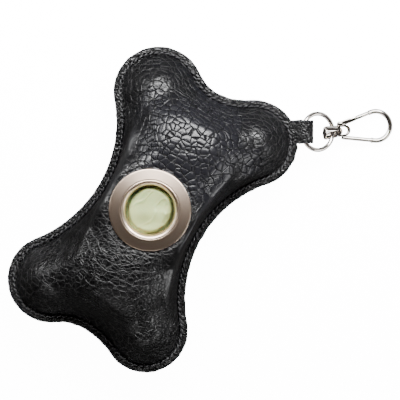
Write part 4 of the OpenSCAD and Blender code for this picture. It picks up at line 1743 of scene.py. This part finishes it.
def build_floor(props):
    """The pale floor. Its glow is for the camera alone, and gloss doesn't see it."""
    corners = [(x * FLOOR_HALF, y * FLOOR_HALF, FLOOR_Z) for x, y in QUARTER_WAY]
    floor = new_object("floor", corners, [], [(0, 1, 2, 3)])
    material, n, shader = new_material("floor paper")
    seen = n.add("ShaderNodeLightPath").outputs["Is Camera Ray"]
    glow = {"Emission Color": (1, 1, 1, 1), "Emission Strength": n.times(seen, props.glow)}
    n.fill(shader, {"Base Color": rgba(props.floor), "Roughness": 0.9, **glow})
    paint(floor, material)
    floor.visible_glossy = False
    floor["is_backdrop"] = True


def build_room(scene):
    """The dim room that the gloss shows."""
    world = bpy.data.worlds.new("studio")
    scene.world = world
    world.use_nodes = True
    n = Nodes(world.node_tree)
    sky = n.add("ShaderNodeTexCoord").outputs["Generated"]
    rise = n.add("ShaderNodeSeparateXYZ", {0: sky}).outputs["Z"]
    band = n.times(n.map(rise, 0.0, 0.06), n.map(rise, 0.5, 0.25))
    around = n.blend(band, rgba(ROOM), rgba(WALL))
    colour = n.blend(n.map(rise, -0.02, -0.08), around, rgba(TABLE))
    n.fill(world.node_tree.nodes["Background"], {"Color": colour})


def build_camera(scene, props):
    """The camera straight above, with the field of view at the rim's height."""
    data = bpy.data.cameras.new("camera")
    data.sensor_width = SENSOR_W
    data.lens = SENSOR_W * (props.height - SEAM_Z * MM) / props.field
    data.clip_start, data.clip_end = 0.05, 20
    camera = bpy.data.objects.new("camera", data)
    camera.location = (*VIEW_MIDDLE, props.height)
    ux, uy = VIEW_UP
    camera.rotation_euler = Matrix(((uy, ux, 0), (-ux, uy, 0), (0, 0, 1))).to_euler()
    scene.collection.objects.link(camera)
    scene.camera = camera


class OBJECT_OT_pouch_stage(bpy.types.Operator):
    """Builds the floor, the soft lights and the camera straight above"""

    bl_idname = "object.pouch_stage"
    bl_label = "Stage"

    def execute(self, context):
        props = context.scene.pouch_stage
        build_floor(props)
        build_room(context.scene)
        for name, source, share, at, size in LIGHTS:
            soft_light(name, view_point(*at), getattr(props, source) * share, size)

        # Low cards that light the ring and hook alone, for pale wires with thin dark edges
        lit = bpy.data.collections.new("lit by cards")
        for name in ("wire_ring", "swivel", "snap_hook", "snap_gate", "snap_pin"):
            lit.objects.link(bpy.data.objects[name])
        for right, up in CARDS:
            card = soft_light("card", view_point(right, up, CARD_Z), props.cards, CARD_SIZE)
            card.light_linking.receiver_collection = lit
        build_camera(context.scene, props)
        return {"FINISHED"}


PROPERTY_GROUPS = {
    "pouch_leather": PouchLeather,
    "pouch_fittings": PouchFittings,
    "pouch_roll": PouchRoll,
    "pouch_stage": PouchStage,
}
OPERATORS = (
    OBJECT_OT_pouch_skins,
    OBJECT_OT_pouch_straps,
    OBJECT_OT_pouch_stitches,
    OBJECT_OT_pouch_eyelet,
    OBJECT_OT_pouch_fittings,
    OBJECT_OT_pouch_roll,
    OBJECT_OT_pouch_fastener,
    OBJECT_OT_pouch_stage,
)


class VIEW3D_PT_pouch(bpy.types.Panel):
    """Lists the pouch's settings and its building steps"""

    bl_label = "Leather bag pouch"
    bl_idname = "VIEW3D_PT_pouch"
    bl_space_type = "VIEW_3D"
    bl_region_type = "UI"
    bl_category = "Pouch"

    def draw(self, context):
        for name, group in PROPERTY_GROUPS.items():
            box = self.layout.box()
            box.label(text=group.__doc__)
            for key in group.__annotations__:
                box.prop(getattr(context.scene, name), key)
        for operator in OPERATORS:
            self.layout.operator(operator.bl_idname)


def register():
    for cls in (*PROPERTY_GROUPS.values(), *OPERATORS, VIEW3D_PT_pouch):
        bpy.utils.register_class(cls)
    for name, group in PROPERTY_GROUPS.items():
        setattr(bpy.types.Scene, name, bpy.props.PointerProperty(type=group))


def unregister():
    for name in PROPERTY_GROUPS:
        delattr(bpy.types.Scene, name)
    for cls in reversed((*PROPERTY_GROUPS.values(), *OPERATORS, VIEW3D_PT_pouch)):
        bpy.utils.unregister_class(cls)


def main():
    """Builds every piece in order and gathers the solids' box and the dressed box."""
    register()
    cad_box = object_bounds()
    for operator in OPERATORS:
        group, name = operator.bl_idname.split(".")
        getattr(getattr(bpy.ops, group), name)()
    sizes = {"cad": cad_box, "visual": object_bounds()}
    sizes = {key: [list(corner) for corner in box] for key, box in sizes.items()}


if __name__ == "__main__":
    main()
